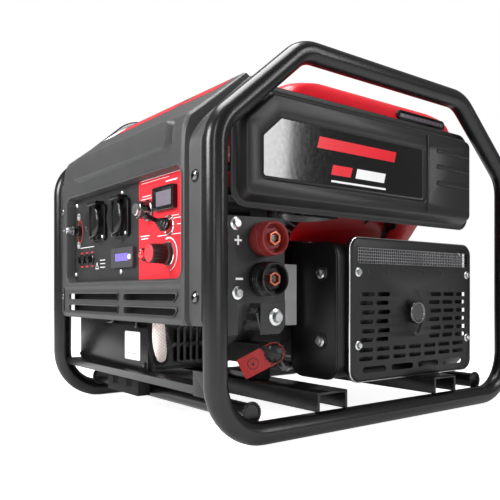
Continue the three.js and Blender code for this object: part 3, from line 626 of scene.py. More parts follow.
def louvre_outline(y, z, grow=0.0):
    """One louvre opening, cut back at a slant at its near end."""
    slant = 16 if y[0] < -100 else 5
    near, far, low, high = y[0] - grow, y[1] + grow, z[0] - grow, z[1] + grow
    return rounded([(near + slant, low), (far, low), (far, high), (near, high)], 3.5)


def panel_cover():
    outlines = [rect(RECESS["y"], RECESS["z"], RECESS["r"])]
    outlines += [louvre_outline(y, z) for z in LOUVRE_ROWS for y in LOUVRE_SPANS]
    through = (PANEL_FACE - 30, PANEL_FACE + 30)
    openings = [Build().loft([lay("x", x, o) for x in through], True, True).mesh("opening") for o in outlines]
    mesh = face_sheet()
    shown = cut_out(mesh, openings, 3.0, side_sign(mesh))
    shown.materials.clear()
    piece = place("panel_face", shown, PANEL_GREY_LIT, angle=30)
    recess_lip()
    louvres()
    panel_sides()
    stripes()
    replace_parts(piece, "panel_cover")


def side_sign(mesh):
    """Which way a sheet's own normals point along X, so that it is thickened inwards."""
    total = sum(polygon.normal.x * polygon.area for polygon in mesh.polygons)
    return -1.0 if total < 0 else 1.0


def recess_lip():
    """The recess's walls: a rolled lip, then walls going back to the control plate."""
    back = PLATE_X - 1 - PANEL_FACE
    levels = [(1.6, 3.2), (-0.2, 2.6), (-0.9, 1.2), (-0.2, -0.2), (1.6, -0.9), (back, -2.4), (back, 1.2),
              (3.2, 2.6),
              (1.6, 3.2)]
    loops = [lay("x", PANEL_FACE + a, rect(RECESS["y"], RECESS["z"], RECESS["r"], g, 8)) for a, g in levels]
    Build().loft(loops).piece("recess_lip", PANEL_GREY_LIT, angle=50)


def louvres():
    """Each opening has a rolled rim; a dark board stands behind them, short of their far ends, as painted
    shade seen through the openings.
    """
    section = [(-0.4, 0.9), (1.0, 0.2), (4.0, 0.2), (4.0, -1.2), (0.2, -0.9), (-0.4, 0.9)]
    for i, z in enumerate(LOUVRE_ROWS):
        for k, y in enumerate(LOUVRE_SPANS):
            loops = [lay("x", PANEL_FACE + a, louvre_outline(y, z, g)) for a, g in section]
            Build().loft(loops).piece(f"louvre_rim_{i}_{k}", PANEL_GREY_LIT, angle=40)
    # the board is painted shade: a dark sheet where the openings show only shade
    board = (PANEL_FACE + 17.5, PANEL_FACE + 19)
    block("louvre_shade_board", board, (-209, 201), (163, 212), 3, BLACK_MATT, edge=0.4)


def panel_sides():
    """The screw flanges at both sides, set back from the face, with the wall that joins them."""
    outline = rounded_path([(FLANGE_X + 3, FACE_LOW), (FLANGE_X, FACE_LOW + 5), (FLANGE_X, CREASE_Z + 14),
                            (FLANGE_X + 22, CREASE_Z + 44), (PANEL_FACE + 108, 508)], 10)
    face = face_outline()
    rows = 44
    washer = [(5.5, 0), (8.4, 0), (8.6, -0.7), (8.0, -1.1), (5.5, -1.1)]
    for side, name in ((-1, "near"), (1, "far")):
        loops = []
        for i in range(rows):
            f = along_path(face, i / (rows - 1))
            g = along_path(outline, i / (rows - 1))
            deep = g + Vector((3.0, -0.6))
            section = [(f, COVER_HALF - 6), (f.lerp(g, 0.2), COVER_HALF - 0.5),
                       (g.lerp(f, 0.12), COVER_HALF + 1.5),
                       (g, COVER_HALF + 4), (g, FLANGE_HALF - 3), (g.lerp(deep, 0.3), FLANGE_HALF - 0.7),
                       (deep, FLANGE_HALF), (deep, COVER_HALF + 1), (f.lerp(deep, 0.5), COVER_HALF - 3)]
            loops.append([P(q.x, side * y, q.y) for q, y in section])
        Build().loft(loops, True, True).piece(f"panel_flange_{name}", PANEL_GREY_LIT, angle=34)
        for k, z in enumerate((197, 355)):
            centre = (side * 230, z)
            dome_screw(f"panel_screw_{name}_{k}", "x", FLANGE_X - 0.1, centre, 7.2, GUNMETAL)
            lathe(f"panel_washer_{name}_{k}", "x", centre, out_from(FLANGE_X - 0.1, washer), BLACK)


def along_path(points, t):
    """The point at a share t of a path's length."""
    lengths = lengths_along(points)
    return on_path(points, lengths, t * lengths[-1])[0]


def stripes():
    """Plain diagonal colour bands near the top edge of the slope."""
    a, b = Vector(SLOPE[2]), Vector(SLOPE[3])
    run = (b - a).normalized()
    out = Vector((-run.y, run.x))
    length = (b - a).length

    def on_slope(y, s, lift):
        q = a + run * s + out * lift
        return P(q.x, y, q.y)

    low, high = length - 34, length - 8
    bands = (("stripe_red", TANK_RED, 150, -60), ("stripe_white", WHITE, 206, 158),
             ("stripe_tail", TANK_RED, -78, -178))
    for name, material, y0, y1 in bands:
        corners = [(y0, low), (y1, low), (y1 - 14, high), (y0 - 14, high)]
        loops = [[on_slope(y, s, lift) for y, s in corners] for lift in (0.1, 0.4)]
        Build().loft(loops, True, True).piece(name, material)


# ---------------------------------------------------------------- control plate
def plate_face(name, y, material):
    """A painted field that covers part of the plate's front."""
    levels = [(PLATE_X + 2, 0), (PLATE_X - 0.2, 0), (PLATE_X - 0.6, -0.5)]
    pad(Build(), "x", lambda g: rect(y, (215, 380), 4, g), levels).piece(name, material)


RED_EDGE_Y = -57
BREAKER_Y = (162, 140, 118)
EARTH = (172, 314)
KNOB = (-148, 258)
# plain white rules on the red field: left end, right end, height, half thickness
RULES = (
    (-66, -200, 371, 0.4), (-66, -150, 367, 0.4), (-140, -172, 361, 0.9), (-70, -96, 347, 0.6),
    (-66, -100, 343, 0.5), (-146, -176, 311, 0.5), (-136, -182, 307, 0.5), (-64, -92, 288, 0.7),
    (-66, -88, 284, 0.7), (-62, -92, 268, 0.7), (-66, -88, 264, 0.6), (-116, -182, 285, 0.5),
    (-172, -186, 298, 0.6),
)


def control_plate():
    plate_face("plate_grey_face", (RED_EDGE_Y + 0.4, 201), PLATE)
    plate_face("plate_red_face", (-207, RED_EDGE_Y - 0.4), PLATE_RED)
    dress("control_plate", PLATE, 0.4)
    front = PLATE_X - 0.6
    for i, (y, z) in enumerate(((184, 362), (-2, 362), (188, 236), (2, 237))):
        dome_screw(f"plate_screw_{i}", "x", front, (y, z), 5)
    earth_mark("earth_mark_0", (178, 341), 6.2, front)
    earth_mark("earth_mark_1", (178, 290), 6.2, front)
    for i, y in enumerate(BREAKER_Y):
        for k, z in enumerate((274, 250)):
            dash = rect((y - 5, y + 5), (z - 1.2, z + 1.2), 0.6)
            print_mark(f"breaker_mark_{i}_{k}", "x", front, dash, TAG_RED)
    print_mark("breaker_rule", "x", front, rect((110, 170), (283.2, 284.2), 0.3))
    hollow_mark("triangle_mark", front, [(104, 244), (90, 244), (97, 256)], 0.7)
    for i in range(3):
        print_mark(f"panel_rule_{i}", "x", front, rect((64, 84), (246 + 6 * i, 247.2 + 6 * i), 0.3))
    ellipse_ring("earth_ring", EARTH, (11, 19), front, 1.4, TAG_RED)
    knob_scale(front)
    for i, (left, right, z, half) in enumerate(RULES):
        print_mark(f"plate_rule_{i}", "x", front, rect((right, left), (z - half, z + half), half * 0.6))


def hollow_mark(name, along, corners, share):
    """A mark with a hole of its own shape, the hole's size being a share of the mark's."""
    outer = [Vector(c) for c in corners]
    centre = sum(outer, Vector((0, 0))) / len(outer)
    inner = [centre + (c - centre) * share for c in outer]
    places = (along - 0.03, along - 0.25)
    build = Build()
    for a in places:
        build.sheet(lay("x", a, outer), [lay("x", a, inner)])
    for loop in (outer, inner):
        build.loft([lay("x", a, loop) for a in places])
    build.piece(name, WHITE)


def ellipse_ring(name, centre, radii, along, width, material):
    steps = [2 * math.pi * i / 64 for i in range(64)]
    loops = []
    for grow, a in ((width, -0.03), (width, -0.25), (0, -0.25), (0, -0.03), (width, -0.03)):
        wide, high = radii[0] + grow, radii[1] + grow
        loops.append([P(along + a, centre[0] + wide * math.cos(t), centre[1] + high * math.sin(t))
                      for t in steps])
    Build().loft(loops).piece(name, material)


def earth_mark(name, centre, radius, along):
    """The earth symbol: a ring with a stem over three bars."""
    ellipse_ring(name + "_ring", centre, (radius - 1, radius - 1), along, 1.0, WHITE)
    y, z = centre
    print_mark(name + "_stem", "x", along, rect((y - 0.5, y + 0.5), (z, z + 3.6), 0.1))
    for i, (half, drop) in enumerate(((3.2, 0.4), (2.1, 1.9), (1.0, 3.4))):
        bar = rect((y - half, y + half), (z - drop - 0.5, z - drop + 0.5), 0.1)
        print_mark(f"{name}_bar_{i}", "x", along, bar)


def knob_scale(along):
    """An arc round the knob that thins towards its lower end."""
    steps = 36
    outer, inner = [], []
    for k in range(steps + 1):
        t = math.radians(70 + 190 * k / steps)
        way = Vector((math.cos(t), math.sin(t)))
        outer.append(Vector(KNOB) + way * 24)
        inner.append(Vector(KNOB) + way * (21.4 + 1.9 * k / steps))
    print_mark("scale_arc", "x", along, outer + inner[::-1])


SOCKETS = (84, -2)
SOCKET_Z = 322


def sockets():
    for i, y in enumerate(SOCKETS):
        socket_body(f"socket_{i + 1}", y)
        socket_lid(f"socket_lid_{i + 1}", y)


def socket_body(node, y):
    """A square flange with rounded corners round a raised collar, and a pin well behind the lid."""
    (front, _), span_y, span_z = limits(node)

    def outline(grow):
        return rect(span_y, span_z, 9, grow, 8)

    levels = [(PLATE_X - 0.5, 0), (front + 4.5, 0), (front + 3.4, -0.8), (front + 3.0, -2.4)]
    build = Build().loft([lay("x", a, outline(g)) for a, g in levels], True, False)
    well = 22
    rim = ring("x", front + 3.0, (y, SOCKET_Z), well + 3.2)
    build.sheet(lay("x", front + 3.0, outline(-2.4)), [rim])
    wall = [(well + 3.0, front + 0.5), (well + 2.4, front), (well + 0.6, front), (well, front + 0.6),
            (well - 0.6, PLATE_X - 3.4)]
    build.loft([rim, *(ring("x", a, (y, SOCKET_Z), r) for r, a in wall)], False, True)
    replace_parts(build.piece(f"{node}_body", BLACK), node)
    pin = [(PLATE_X - 3.3, 0), (PLATE_X - 3.9, 0), (PLATE_X - 4.1, -0.4)]
    for k, at in enumerate((y - 9.5, y + 9.5)):
        pad(Build(), "x", lambda g, c=at: rect((c - 3, c + 3), (SOCKET_Z - 3, SOCKET_Z + 3), 2.9, g),
            pin).piece(f"{node}_pin_{k}", CHROME)
    for k, at in enumerate((y - 23.5, y + 23.5)):
        dome_screw(f"{node}_screw_{k}", "x", front + 3.0, (at, SOCKET_Z - 25), 3.1)


def socket_lid(node, y):
    """A domed lid with an upright rib and a thumb lug, on a hinge barrel above."""
    (front, back), _, (_, top) = limits(node)
    r = 26
    dome = [(0, 0), (r - 1.4, 0), (r - 0.4, -0.4), (r, -1.4), (r, -5.0), (r - 0.8, -6.6), (r - 3.0, -7.8),
            (r * 0.6, -8.8), (r * 0.3, -9.3), (0, -9.4)]
    piece = lathe(f"{node}_dome", "x", (y, SOCKET_Z), out_from(back, dome), BLACK, node, 64, 24)
    bars = (
        ("rib", (front + 0.1, back - 6), 2.2, (SOCKET_Z - 24, SOCKET_Z + 26), 1.8, 0.8),
        ("lug", (back - 6, back - 1), 7, (SOCKET_Z - 30.5, SOCKET_Z - 24), 2.4, 0.9),
        ("tongue", (back - 6.5, back - 0.5), 12, (SOCKET_Z + 18, top - 5), 3, 0.9),
    )
    for name, x, half, z, corner, edge in bars:
        block(f"{node}_{name}", x, (y - half, y + half), z, corner, BLACK, node, edge)
    barrel = (back - 3.5, top - 4.4)
    knuckle = [(0, -12), (3.6, -12), (4.1, -11.5), (4.1, 11.5), (3.6, 12), (0, 12)]
    lathe(f"{node}_barrel", "y", barrel, out_from(y, knuckle), BLACK, node, 24)
    for k, side in enumerate((-1, 1)):
        end = [(0, 12.4), (3.7, 12.4), (3.9, 15.8), (3.2, 16.4), (0, 16.4)]
        lathe(f"{node}_bracket_{k}", "y", barrel, [(q, y + side * a) for q, a in end], BLACK, sides=24)
        block(f"{node}_post_{k}", (back - 3.5, PLATE_X - 0.6), sorted((y + side * 12.5, y + side * 16.2)),
              (top - 8.2, top - 0.8), 0.8, BLACK, edge=0.4)
    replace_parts(piece, node)


def seat(node):
    """A round fitting on the panel: its centre (y, z), its radius, its front and its back."""
    (front, back), y, z = limits(node)
    return (sum(y) / 2, sum(z) / 2), (y[1] - y[0]) / 2, front, back


def key_and_switch():
    """The switch's fat round body, and its turning face with the key slot."""
    centre, r, front, _ = seat("key_switch")
    profile = [(0, PLATE_X - 0.5), (r, PLATE_X - 0.5), (r, PLATE_X - 3), (r - 1.2, PLATE_X - 4.2),
               (r - 2.6, PLATE_X - 4.6), (r - 3.0, PLATE_X - 6), (r - 3.0, front + 2.4),
               (r - 3.5, front + 0.8),
               (r - 4.6, front), (0, front)]
    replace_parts(lathe("key_switch_body", "x", centre, profile, GUNMETAL, sides=64), "key_switch")
    y, z = centre
    _, r, front, back = seat("key_barrel")
    loops = [ring("x", a, centre, q) for q, a in ((r, back), (r, front + 0.8), (r - 0.7, front))]
    build = Build().loft(loops, True, False)
    slot = rect((y - 1.1, y + 1.1), (z - 4.8, z + 4.8), 0.8, 0, 3)
    build.sheet(loops[-1], [lay("x", front, slot)])
    build.loft([lay("x", front, slot), lay("x", front + 2, slot)], False, True)
    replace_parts(build.piece("key_barrel_face", CHROME, "key_barrel"), "key_barrel")


def bezel(name, node, corner_window, material, window, sink, slope):
    """A raised frame with a sloped inner edge round a window; returns the window's front."""
    (front, _), y, z = limits(node)
    levels = [(PLATE_X - 0.5, 0), (front + 0.8, 0), (front, -0.8)]
    build = Build().loft([lay("x", a, rect(y, z, 3, g, 6)) for a, g in levels], True, False)
    inner = [lay("x", a, rect(*window, corner_window, g, 6)) for a, g in ((front, slope), (front + sink, 0))]
    build.sheet(lay("x", front, rect(y, z, 3, -0.8, 6)), [inner[0]])
    build.loft(inner, False, True)
    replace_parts(build.piece(name, material), node)
    return front


def display_and_meter():
    _, y, z = limits("display")
    window = ((y[0] + 7, y[1] - 7), (z[0] + 6, z[1] - 6))
    front = bezel("display_bezel", "display", 1.5, BLACK, window, 3.5, 1.6)
    levels = [(front + 3.6, -0.2), (front + 2.9, -0.2), (front + 2.6, -0.5)]
    pad(Build(), "x", lambda g: rect(*window, 1.2, g), levels).piece("display_glass", LCD)
    _, y, z = limits("hour_meter")
    field = ((y[0] + 16, y[1] - 14), (z[0] + 10, z[1] - 9))
    front = bezel("meter_bezel", "hour_meter", 1, METER_GREY, field, 1.2, 1.2)
    levels = [(front + 1.4, -0.2), (front + 0.8, -0.2), (front + 0.5, -0.5)]
    pad(Build(), "x", lambda g: rect(*field, 0.8, g), levels).piece("meter_glass", LCD_LILAC)
    button = [(0, 0.2), (4.2, 0.2), (4.2, -1.8), (3.6, -2.4), (0, -2.7)]
    lathe("meter_button", "x", (y[0] + 7.5, sum(z) / 2), out_from(front, button), WHITE, sides=32)


LEVER = (-151, 298)
LEVER_PIVOT = PLATE_X - 8
LEVER_TILT = math.radians(20)


def tilted(build):
    """Tips a form, drawn straight out of the plate, up about the toggle's pivot."""
    pivot = P(LEVER_PIVOT, LEVER[0], LEVER[1])
    c, s = math.cos(LEVER_TILT), math.sin(LEVER_TILT)
    for point in build.points:
        dx, dz = point.x - pivot.x, point.z - pivot.z
        point.x, point.z = pivot.x + dx * c + dz * s, pivot.z - dx * s + dz * c
    return build


def mode_lever():
    """The toggle: a chrome seat, a bellows boot and a flared tip."""
    seat_ring = [(11.8, -0.5), (14.5, -0.5), (14.5, -2.6), (13.6, -3.8), (12.2, -4), (11.8, -3.4),
                 (11.8, -0.5)]
    lathe("lever_ring", "x", LEVER, out_from(PLATE_X, seat_ring), CHROME)
    boot = [(0, 6.6), (5, 5.2), (8, 2.4)]
    for k in range(4):
        a, r = -0.6 - 3.6 * k, 10.8 - 1.9 * k
        boot += [(r - 0.6, a), (r, a - 0.9), (r - 0.4, a - 1.9), (r - 1.9, a - 2.6), (r - 2.1, a - 3.2)]
    boot += [(3.4, -15), (3.4, -23), (0, -23)]
    tip = [(0, -22), (3.3, -22), (4.1, -31), (4.0, -34), (3.0, -35.6), (0, -36.2)]
    form = tilted(turned(Build(), "x", LEVER, out_from(LEVER_PIVOT, boot)))
    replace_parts(form.piece("lever_boot", BLACK, "mode_lever"), "mode_lever")
    form = tilted(turned(Build(), "x", LEVER, out_from(LEVER_PIVOT, tip), 32))
    form.piece("lever_tip", BLACK, "mode_lever")


def lamp():
    centre, r, front, _ = seat("lamp")
    rim = [(0, -0.5), (r, -0.5), (r, -6.5), (r - 0.8, -7.6), (r - 2.2, -8), (r - 2.6, -7), (0, -7)]
    lathe("lamp_bezel", "x", centre, out_from(PLATE_X, rim), BLACK)
    dome = [(0, PLATE_X - 6.9)]
    for k in range(11):
        t = math.radians(9 * k)
        dome.append(((r - 2.8) * math.cos(t), PLATE_X - 7.4 + (front - PLATE_X + 7.4) * math.sin(t)))
    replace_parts(lathe("lamp_dome", "x", centre, dome, LAMP_RED), "lamp")


def fluted(build, axis, centre, radius, depth, flutes, levels, sides=144):
    """A grip with scooped flutes; levels are (place, growth, share of the flute depth)."""
    loops = []
    for along, grow, share in levels:
        loop = []
        for i in range(sides):
            t = 2 * math.pi * i / sides
            scoop = depth * share * (0.5 + 0.5 * math.cos(flutes * t)) ** 2
            r = radius + grow - scoop
            loop.append(to_axis(axis, along, centre[0] + r * math.cos(t), centre[1] + r * math.sin(t)))
        loops.append(loop)
    return build.loft(loops, True, True)


def knob():
    """A chrome ring, a fluted grip and a red cap."""
    base = [(0, -0.5), (17.6, -0.5), (17.6, -2.4), (16.6, -3.4), (0, -3.6)]
    lathe("knob_ring", "x", KNOB, out_from(PLATE_X, base), CHROME, sides=64)
    tip = limits("current_knob")[0][0]
    levels = [(PLATE_X - 3.9, 0.6, 0.2), (PLATE_X - 4.6, 1.2, 0.3), (PLATE_X - 7, 1.2, 0.5),
              (PLATE_X - 9, -0.4, 1),
              (tip + 2.6, -1.2, 1), (tip + 1.7, -2.0, 0.6)]
    grip = fluted(Build(), "x", KNOB, 14.6, 0.9, 22, levels)
    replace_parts(grip.piece("knob_grip", KNOB_GRIP, "current_knob"), "current_knob")
    cap = [(0, 1.8), (12.0, 1.8), (12.0, 0.8), (11.2, 0.2), (0, 0.1)]
    lathe("knob_cap", "x", KNOB, out_from(tip, cap), KNOB_RED, "current_knob")


def breakers():
    for i in range(len(BREAKER_Y)):
        node = f"breaker_button_{i + 1}"
        centre, r, front, back = seat(node)
        collar = [(r + 0.4, -0.5), (r + 3.4, -0.5), (r + 3.4, -2.6), (r + 2.2, -3.6), (r + 0.4, -3.6),
                  (r + 0.4, -0.5)]
        lathe(f"{node}_collar", "x", centre, out_from(PLATE_X, collar), BLACK)
        button = [(0, back - 0.4), (r - 0.2, back - 0.4), (r - 0.2, front + 1.2), (r - 1.0, front + 0.3),
                  (r * 0.5, front), (0, front)]
        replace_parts(lathe(f"{node}_cap", "x", centre, button, BLACK, node, 40), node)


def earth_stud():
    """The stud's insulating boss, its thread and washer, and the wing nut."""
    centre, _, tip, _ = seat("ground_stud")
    (front, back), nut_y, nut_z = limits("wing_nut")
    profile = [(0, PLATE_X - 0.5), (9, PLATE_X - 0.5), (9, PLATE_X - 6), (8.2, PLATE_X - 7),
               (6.4, PLATE_X - 7.4),
               (6.0, back + 1.5), (5.2, back + 0.8), (0, back + 0.8)]
    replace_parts(lathe("earth_boss", "x", centre, profile, BLACK), "ground_stud")
    thread(Build(), "x", centre, 3.6, back + 0.9, tip, 1.2).piece("earth_thread", ZINC)
    washer = [(3.9, 0.7), (8, 0.7), (8, 0.3), (3.9, 0.3), (3.9, 0.7)]
    lathe("earth_washer", "x", centre, out_from(back, washer), ZINC, sides=40)
    hub = [(3.8, back), (6.8, back), (6.6, back - 2), (5.4, front + 2.6), (4.6, front + 2), (3.8, front + 2),
           (3.8, back)]
    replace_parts(lathe("wing_hub", "x", centre, hub, ZINC, "wing_nut", 40), "wing_nut")
    half = max(nut_y[1] - centre[0], nut_z[1] - centre[1]) - 0.4
    upright = nut_z[1] - nut_z[0] > nut_y[1] - nut_y[0]
    for k, side in enumerate((-1, 1)):
        wing(f"wing_{k}", centre, side, half, back, front, upright)


def wing(name, centre, side, half, back, front, upright):
    outline = rounded([(4.6, back - 1), (8, back - 0.8), (half, back - 4.5), (half, front + 0.6),
                       (half - 5, front + 0.6), (4.8, front + 3.2)], 1.8)
    y, z = centre
    loops = []
    for off in (-1.1, 1.1):
        if upright:
            loops.append([P(p.y, y + off, z + side * p.x) for p in outline])
        else:
            loops.append([P(p.y, y + side * p.x, z + off) for p in outline])
    Build().loft(loops, True, True).piece(name, ZINC, "wing_nut")


def thread(build, axis, centre, radius, start, end, pitch):
    """A screw thread: the outline is carried along and round at once."""
    sides = 20
    turns = abs(end - start) / pitch
    rows = max(int(turns * 6), 8)
    loops = []
    for k in range(rows + 1):
        along = start + (end - start) * k / rows
        loop = []
        for i in range(sides):
            t = 2 * math.pi * i / sides
            wave = 0.5 + 0.5 * math.cos(2 * math.pi * turns * k / rows - t)
            r = radius - 0.5 * wave if 0 < k < rows else radius - 0.6
            loop.append(to_axis(axis, along, centre[0] + r * math.cos(t), centre[1] + r * math.sin(t)))
        loops.append(loop)
    return build.loft(loops, True, True)


# ---------------------------------------------------------------- under the panel
def electrics():
    for node, material, width in (("electrics_box", FRAME_PAINT, 1.0), ("front_rail", FRAME_PAINT, 0.8),
                                  ("mount_rail_front", FRAME_PAINT, 1.4),
                                  ("mount_rail_rear", FRAME_PAINT, 1.4),
                                  ("weld_choke", RUBBER, 0.8)):
        dress(node, material, width)
    (front, _), (near, far), (low, high) = limits("electrics_box")
    print_mark("blank_label", "x", front - 0.1, rect((-12, 42), (94, 140), 3), WHITE, 0.3)
    for i, (z, length) in enumerate(((104, 35.2), (118, 19.2))):
        rule = rect((-4, length - 4), (z, z + 0.9), 0.3)
        print_mark(f"label_rule_{i}", "x", front - 0.4, rule, METER_GREY, 0.15)
    for k, (z, y) in enumerate((z, y) for z in (high - 8, low + 8) for y in (near + 8, far - 8)):
        bolt(f"box_screw_{k}", "x", front, (y, z), 3.4, FRAME_PAINT)
    grommet = [(7.8, -2.6), (9.6, -3.0), (12.2, -2.4), (12.4, -0.4), (10.2, -0.1), (9.8, 2.6), (12.0, 3.2),
               (11.6, 4.4), (7.8, 4.2), (7.8, -2.6)]
    lathe("box_grommet", "y", (-284, 100), out_from(near, grommet), RUBBER, sides=40)
    for k, x in enumerate((-246, -226)):
        block(f"box_link_{k}", (x, x + 12), (near + 7, near + 16), (high - 26, high - 12), 1, TAG_RED)
    wires()
    coils()


def wires():
    """The braided sleeve from the panel to the electrics box, and two thin leads behind the panel's foot."""
    route = spline([(-308, -72, 168), (-307, -71, 150), (-302, -64, 128), (-294, -54, 110), (-288, -45, 102),
                    (-284, -36, 100)])
    sleeve = tube(Build(), route, 8, 24, taper=lambda t: 7.6 + 2.8 * math.sin(math.pi * min(t * 1.3, 1)))
    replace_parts(sleeve.piece("panel_sleeve", BRAID), "wire_sleeve")
    cable("lead_a", [(-318, -20, 168), (-316, -16, 152), (-312, -2, 150), (-306, 20, 160), (-300, 40, 182)],
          2.4, BLACK)
    cable("lead_b", [(-318, 60, 170), (-316, 70, 156), (-314, 96, 154), (-308, 120, 164), (-300, 126, 184)],
          2.4, BLACK)


COIL_LENGTH = 32


def coils():
    """Turns round the weld choke, between its end blocks."""
    x, y, z = limits("weld_choke")
    half_x, half_z = (x[1] - x[0]) / 2 - 3.0, (z[1] - z[0]) / 2 - 2.0
    steps = 9 * 24
    for k, start in enumerate((y[0] + 16, y[1] - 48)):
        route = []
        for i in range(steps + 1):
            t = 2 * math.pi * i / 24
            squared = 1.12 / max(abs(math.cos(t)), abs(math.sin(t))) ** 0.8
            across = half_x * squared * 0.95 * math.cos(t)
            up = half_z * squared * 0.9 * math.sin(t)
            route.append(P(sum(x) / 2 + across, start + COIL_LENGTH * i / steps, sum(z) / 2 + up))
        tube(Build(), route, 1.6, 8).piece(f"choke_coil_{k}", RUBBER)


# ---------------------------------------------------------------- welding terminals
def terminals():
    dress("terminal_plate", PLATE, 0.5)
    front = limits("terminal_plate")[1][0]
    cup("positive_terminal", RED_PLASTIC)
    cup("negative_terminal", BLACK)
    for k, spot in enumerate(((-284, 296), (-281, 203))):
        bolt(f"terminal_bolt_{k}", "y", front, spot, 5.2)
    bolt("terminal_ear_bolt", "y", front + 1.0, (-214, 169), 7.0)
    marks = (
        ("mark_plus_a", (-286, -274), (272.6, 275.4)), ("mark_plus_0", (-281.4, -278.6), (267.6, 272.5)),
        ("mark_plus_1", (-281.4, -278.6), (275.5, 280.4)), ("mark_minus", (-284, -272), (220.6, 223.4)),
    )
    for name, x, z in marks:
        print_mark(name, "y", front, rect(x, z, 0.3))
    ear = rounded([(-238, 150), (-196, 150), (-196, 186), (-238, 186), (-244, 176)], 3)
    slab("ear_backing", "y", (-236.0, -233.0), ear, FRAME_PAINT)


def cup(node, material):
    """A round insulating cup with a hex recess, a copper nut on its stud, and a stepped rim."""
    x, (mouth, back), z = limits(node)
    centre = (sum(x) / 2, sum(z) / 2)
    r = (x[1] - x[0]) / 2
    profile = [(0, back), (r - 2, back), (r - 1, back - 1), (r, back - 3), (r, back - 8)]
    rim = [(r - 0.8, 2), (r - 1.6, 0.6), (r - 2.6, 0), (r - 3.6, 0.6), (r - 4.4, 2.4), (r - 5.4, 13), (0, 13)]
    piece = lathe(f"{node}_cup", "y", centre, profile + out_from(mouth, rim), material, sides=72)
    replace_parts(piece, node)
    for i in range(3):
        band = [(r - 0.6, 0.9), (r + 0.2, 0.5), (r + 0.2, -0.5), (r - 0.6, -0.9), (r - 0.6, 0.9)]
        lathe(f"{node}_band_{i}", "y", centre, out_from(back - 10 - 4.5 * i, band), material, sides=72)
    flats = r - 8.5
    sides = [(flats, 12.8), (flats, 9.5), (flats - 0.8, 8.8)]
    build = Build().loft([ring("y", mouth + a, centre, q * 1.08, 6, 0.2) for q, a in sides], True, True)
    build.piece(f"{node}_hex_seat", material, angle=25)
    nut = [(10.2, 8.6), (10.2, 2.6), (9.4, 1.8), (7.4, 1.8), (6.8, 2.6), (6.6, 8.6), (10.2, 8.6)]
    build = Build().loft([ring("y", mouth + a, centre, q, 6, 0.5) for q, a in nut])
    build.piece(f"{node}_nut", COPPER, angle=25)
    thread(Build(), "y", centre, 4.6, mouth + 8.7, mouth + 4.6, 1.5).piece(f"{node}_stud", GUNMETAL)


def under_terminals():
    """The conduits, strap, hanger and bosses round the terminal plate."""
    block("conduit_block", (-246, -216), (-222, -190), (309, 327), 3, BLACK_MATT)
    cable("conduit_black", [(-322, -188, 290), (-312, -204, 309), (-296, -216, 319), (-268, -222, 322),
                            (-240, -214, 324)], 7.4, RUBBER)
    cable("conduit_silver", [(-318, -176, 300), (-308, -190, 322), (-286, -202, 332), (-258, -206, 336),
                             (-232, -200, 338)], 5.2, SILVER_BRAID)
    cable("conduit_red", [(-236, -206, 318), (-222, -208, 313), (-208, -204, 316), (-196, -190, 324)], 4.6,
          RED_PLASTIC)
    strap = [(-204, -232, 318), (-190, -233, 312), (-150, -232, 313), (-110, -233, 318), (-86, -233, 322)]
    section = [Vector((0, y, z)) * MM for y, z in ((-1.2, -5), (1.2, -5), (1.2, 5), (-1.2, 5))]
    loops = [[point + corner for corner in section] for point in spline(strap, 10)]
    Build().loft(loops, True, True).piece("cable_strap", BLACK)
    hanger()
    for i, (x, z, r) in enumerate(((-182, 174, 5.4), (-190, 153, 8.4))):
        boss = [(0, -128), (r, -128), (r, x + 3), (r - 0.8, x + 1), (r - 2.2, x), (0, x - 0.4)]
        lathe(f"alternator_boss_{i}", "x", (-134, z), boss, IRON, sides=40)


def hanger():
    """The pale sheet-metal strap that hangs beside the terminal bracket, folded back at its lower end."""
    y = -141
    section = [(y + 20, 150), (y, 150), (y, 250), (y + 2, 250), (y + 2, 152), (y + 20, 152)]
    slab("alternator_hanger", "x", (-112, -88), rounded_path(section, 1.5, 2), HANGER_GREY)


# ---------------------------------------------------------------- side covers
FIELD = [(-277, 336), (226, 336), (226, 474), (-232, 474), (-277, 434)]
DECAL_FIELD = [(-254, 357), (99, 357), (99, 450), (-219, 450), (-254, 419)]
RIM_GROW = 18


def grown(corners, amount):
    """A convex outline moved outwards by an amount along each side's normal."""
    count = len(corners)
    result = []
    for i in range(count):
        p, a, b = Vector(corners[i]), Vector(corners[i - 1]), Vector(corners[(i + 1) % count])
        d0, d1 = (p - a).normalized(), (b - p).normalized()
        n0, n1 = Vector((d0.y, -d0.x)), Vector((d1.y, -d1.x))
        result.append(p + (n0 + n1) * (amount / (1 + n0.dot(n1))))
    return result


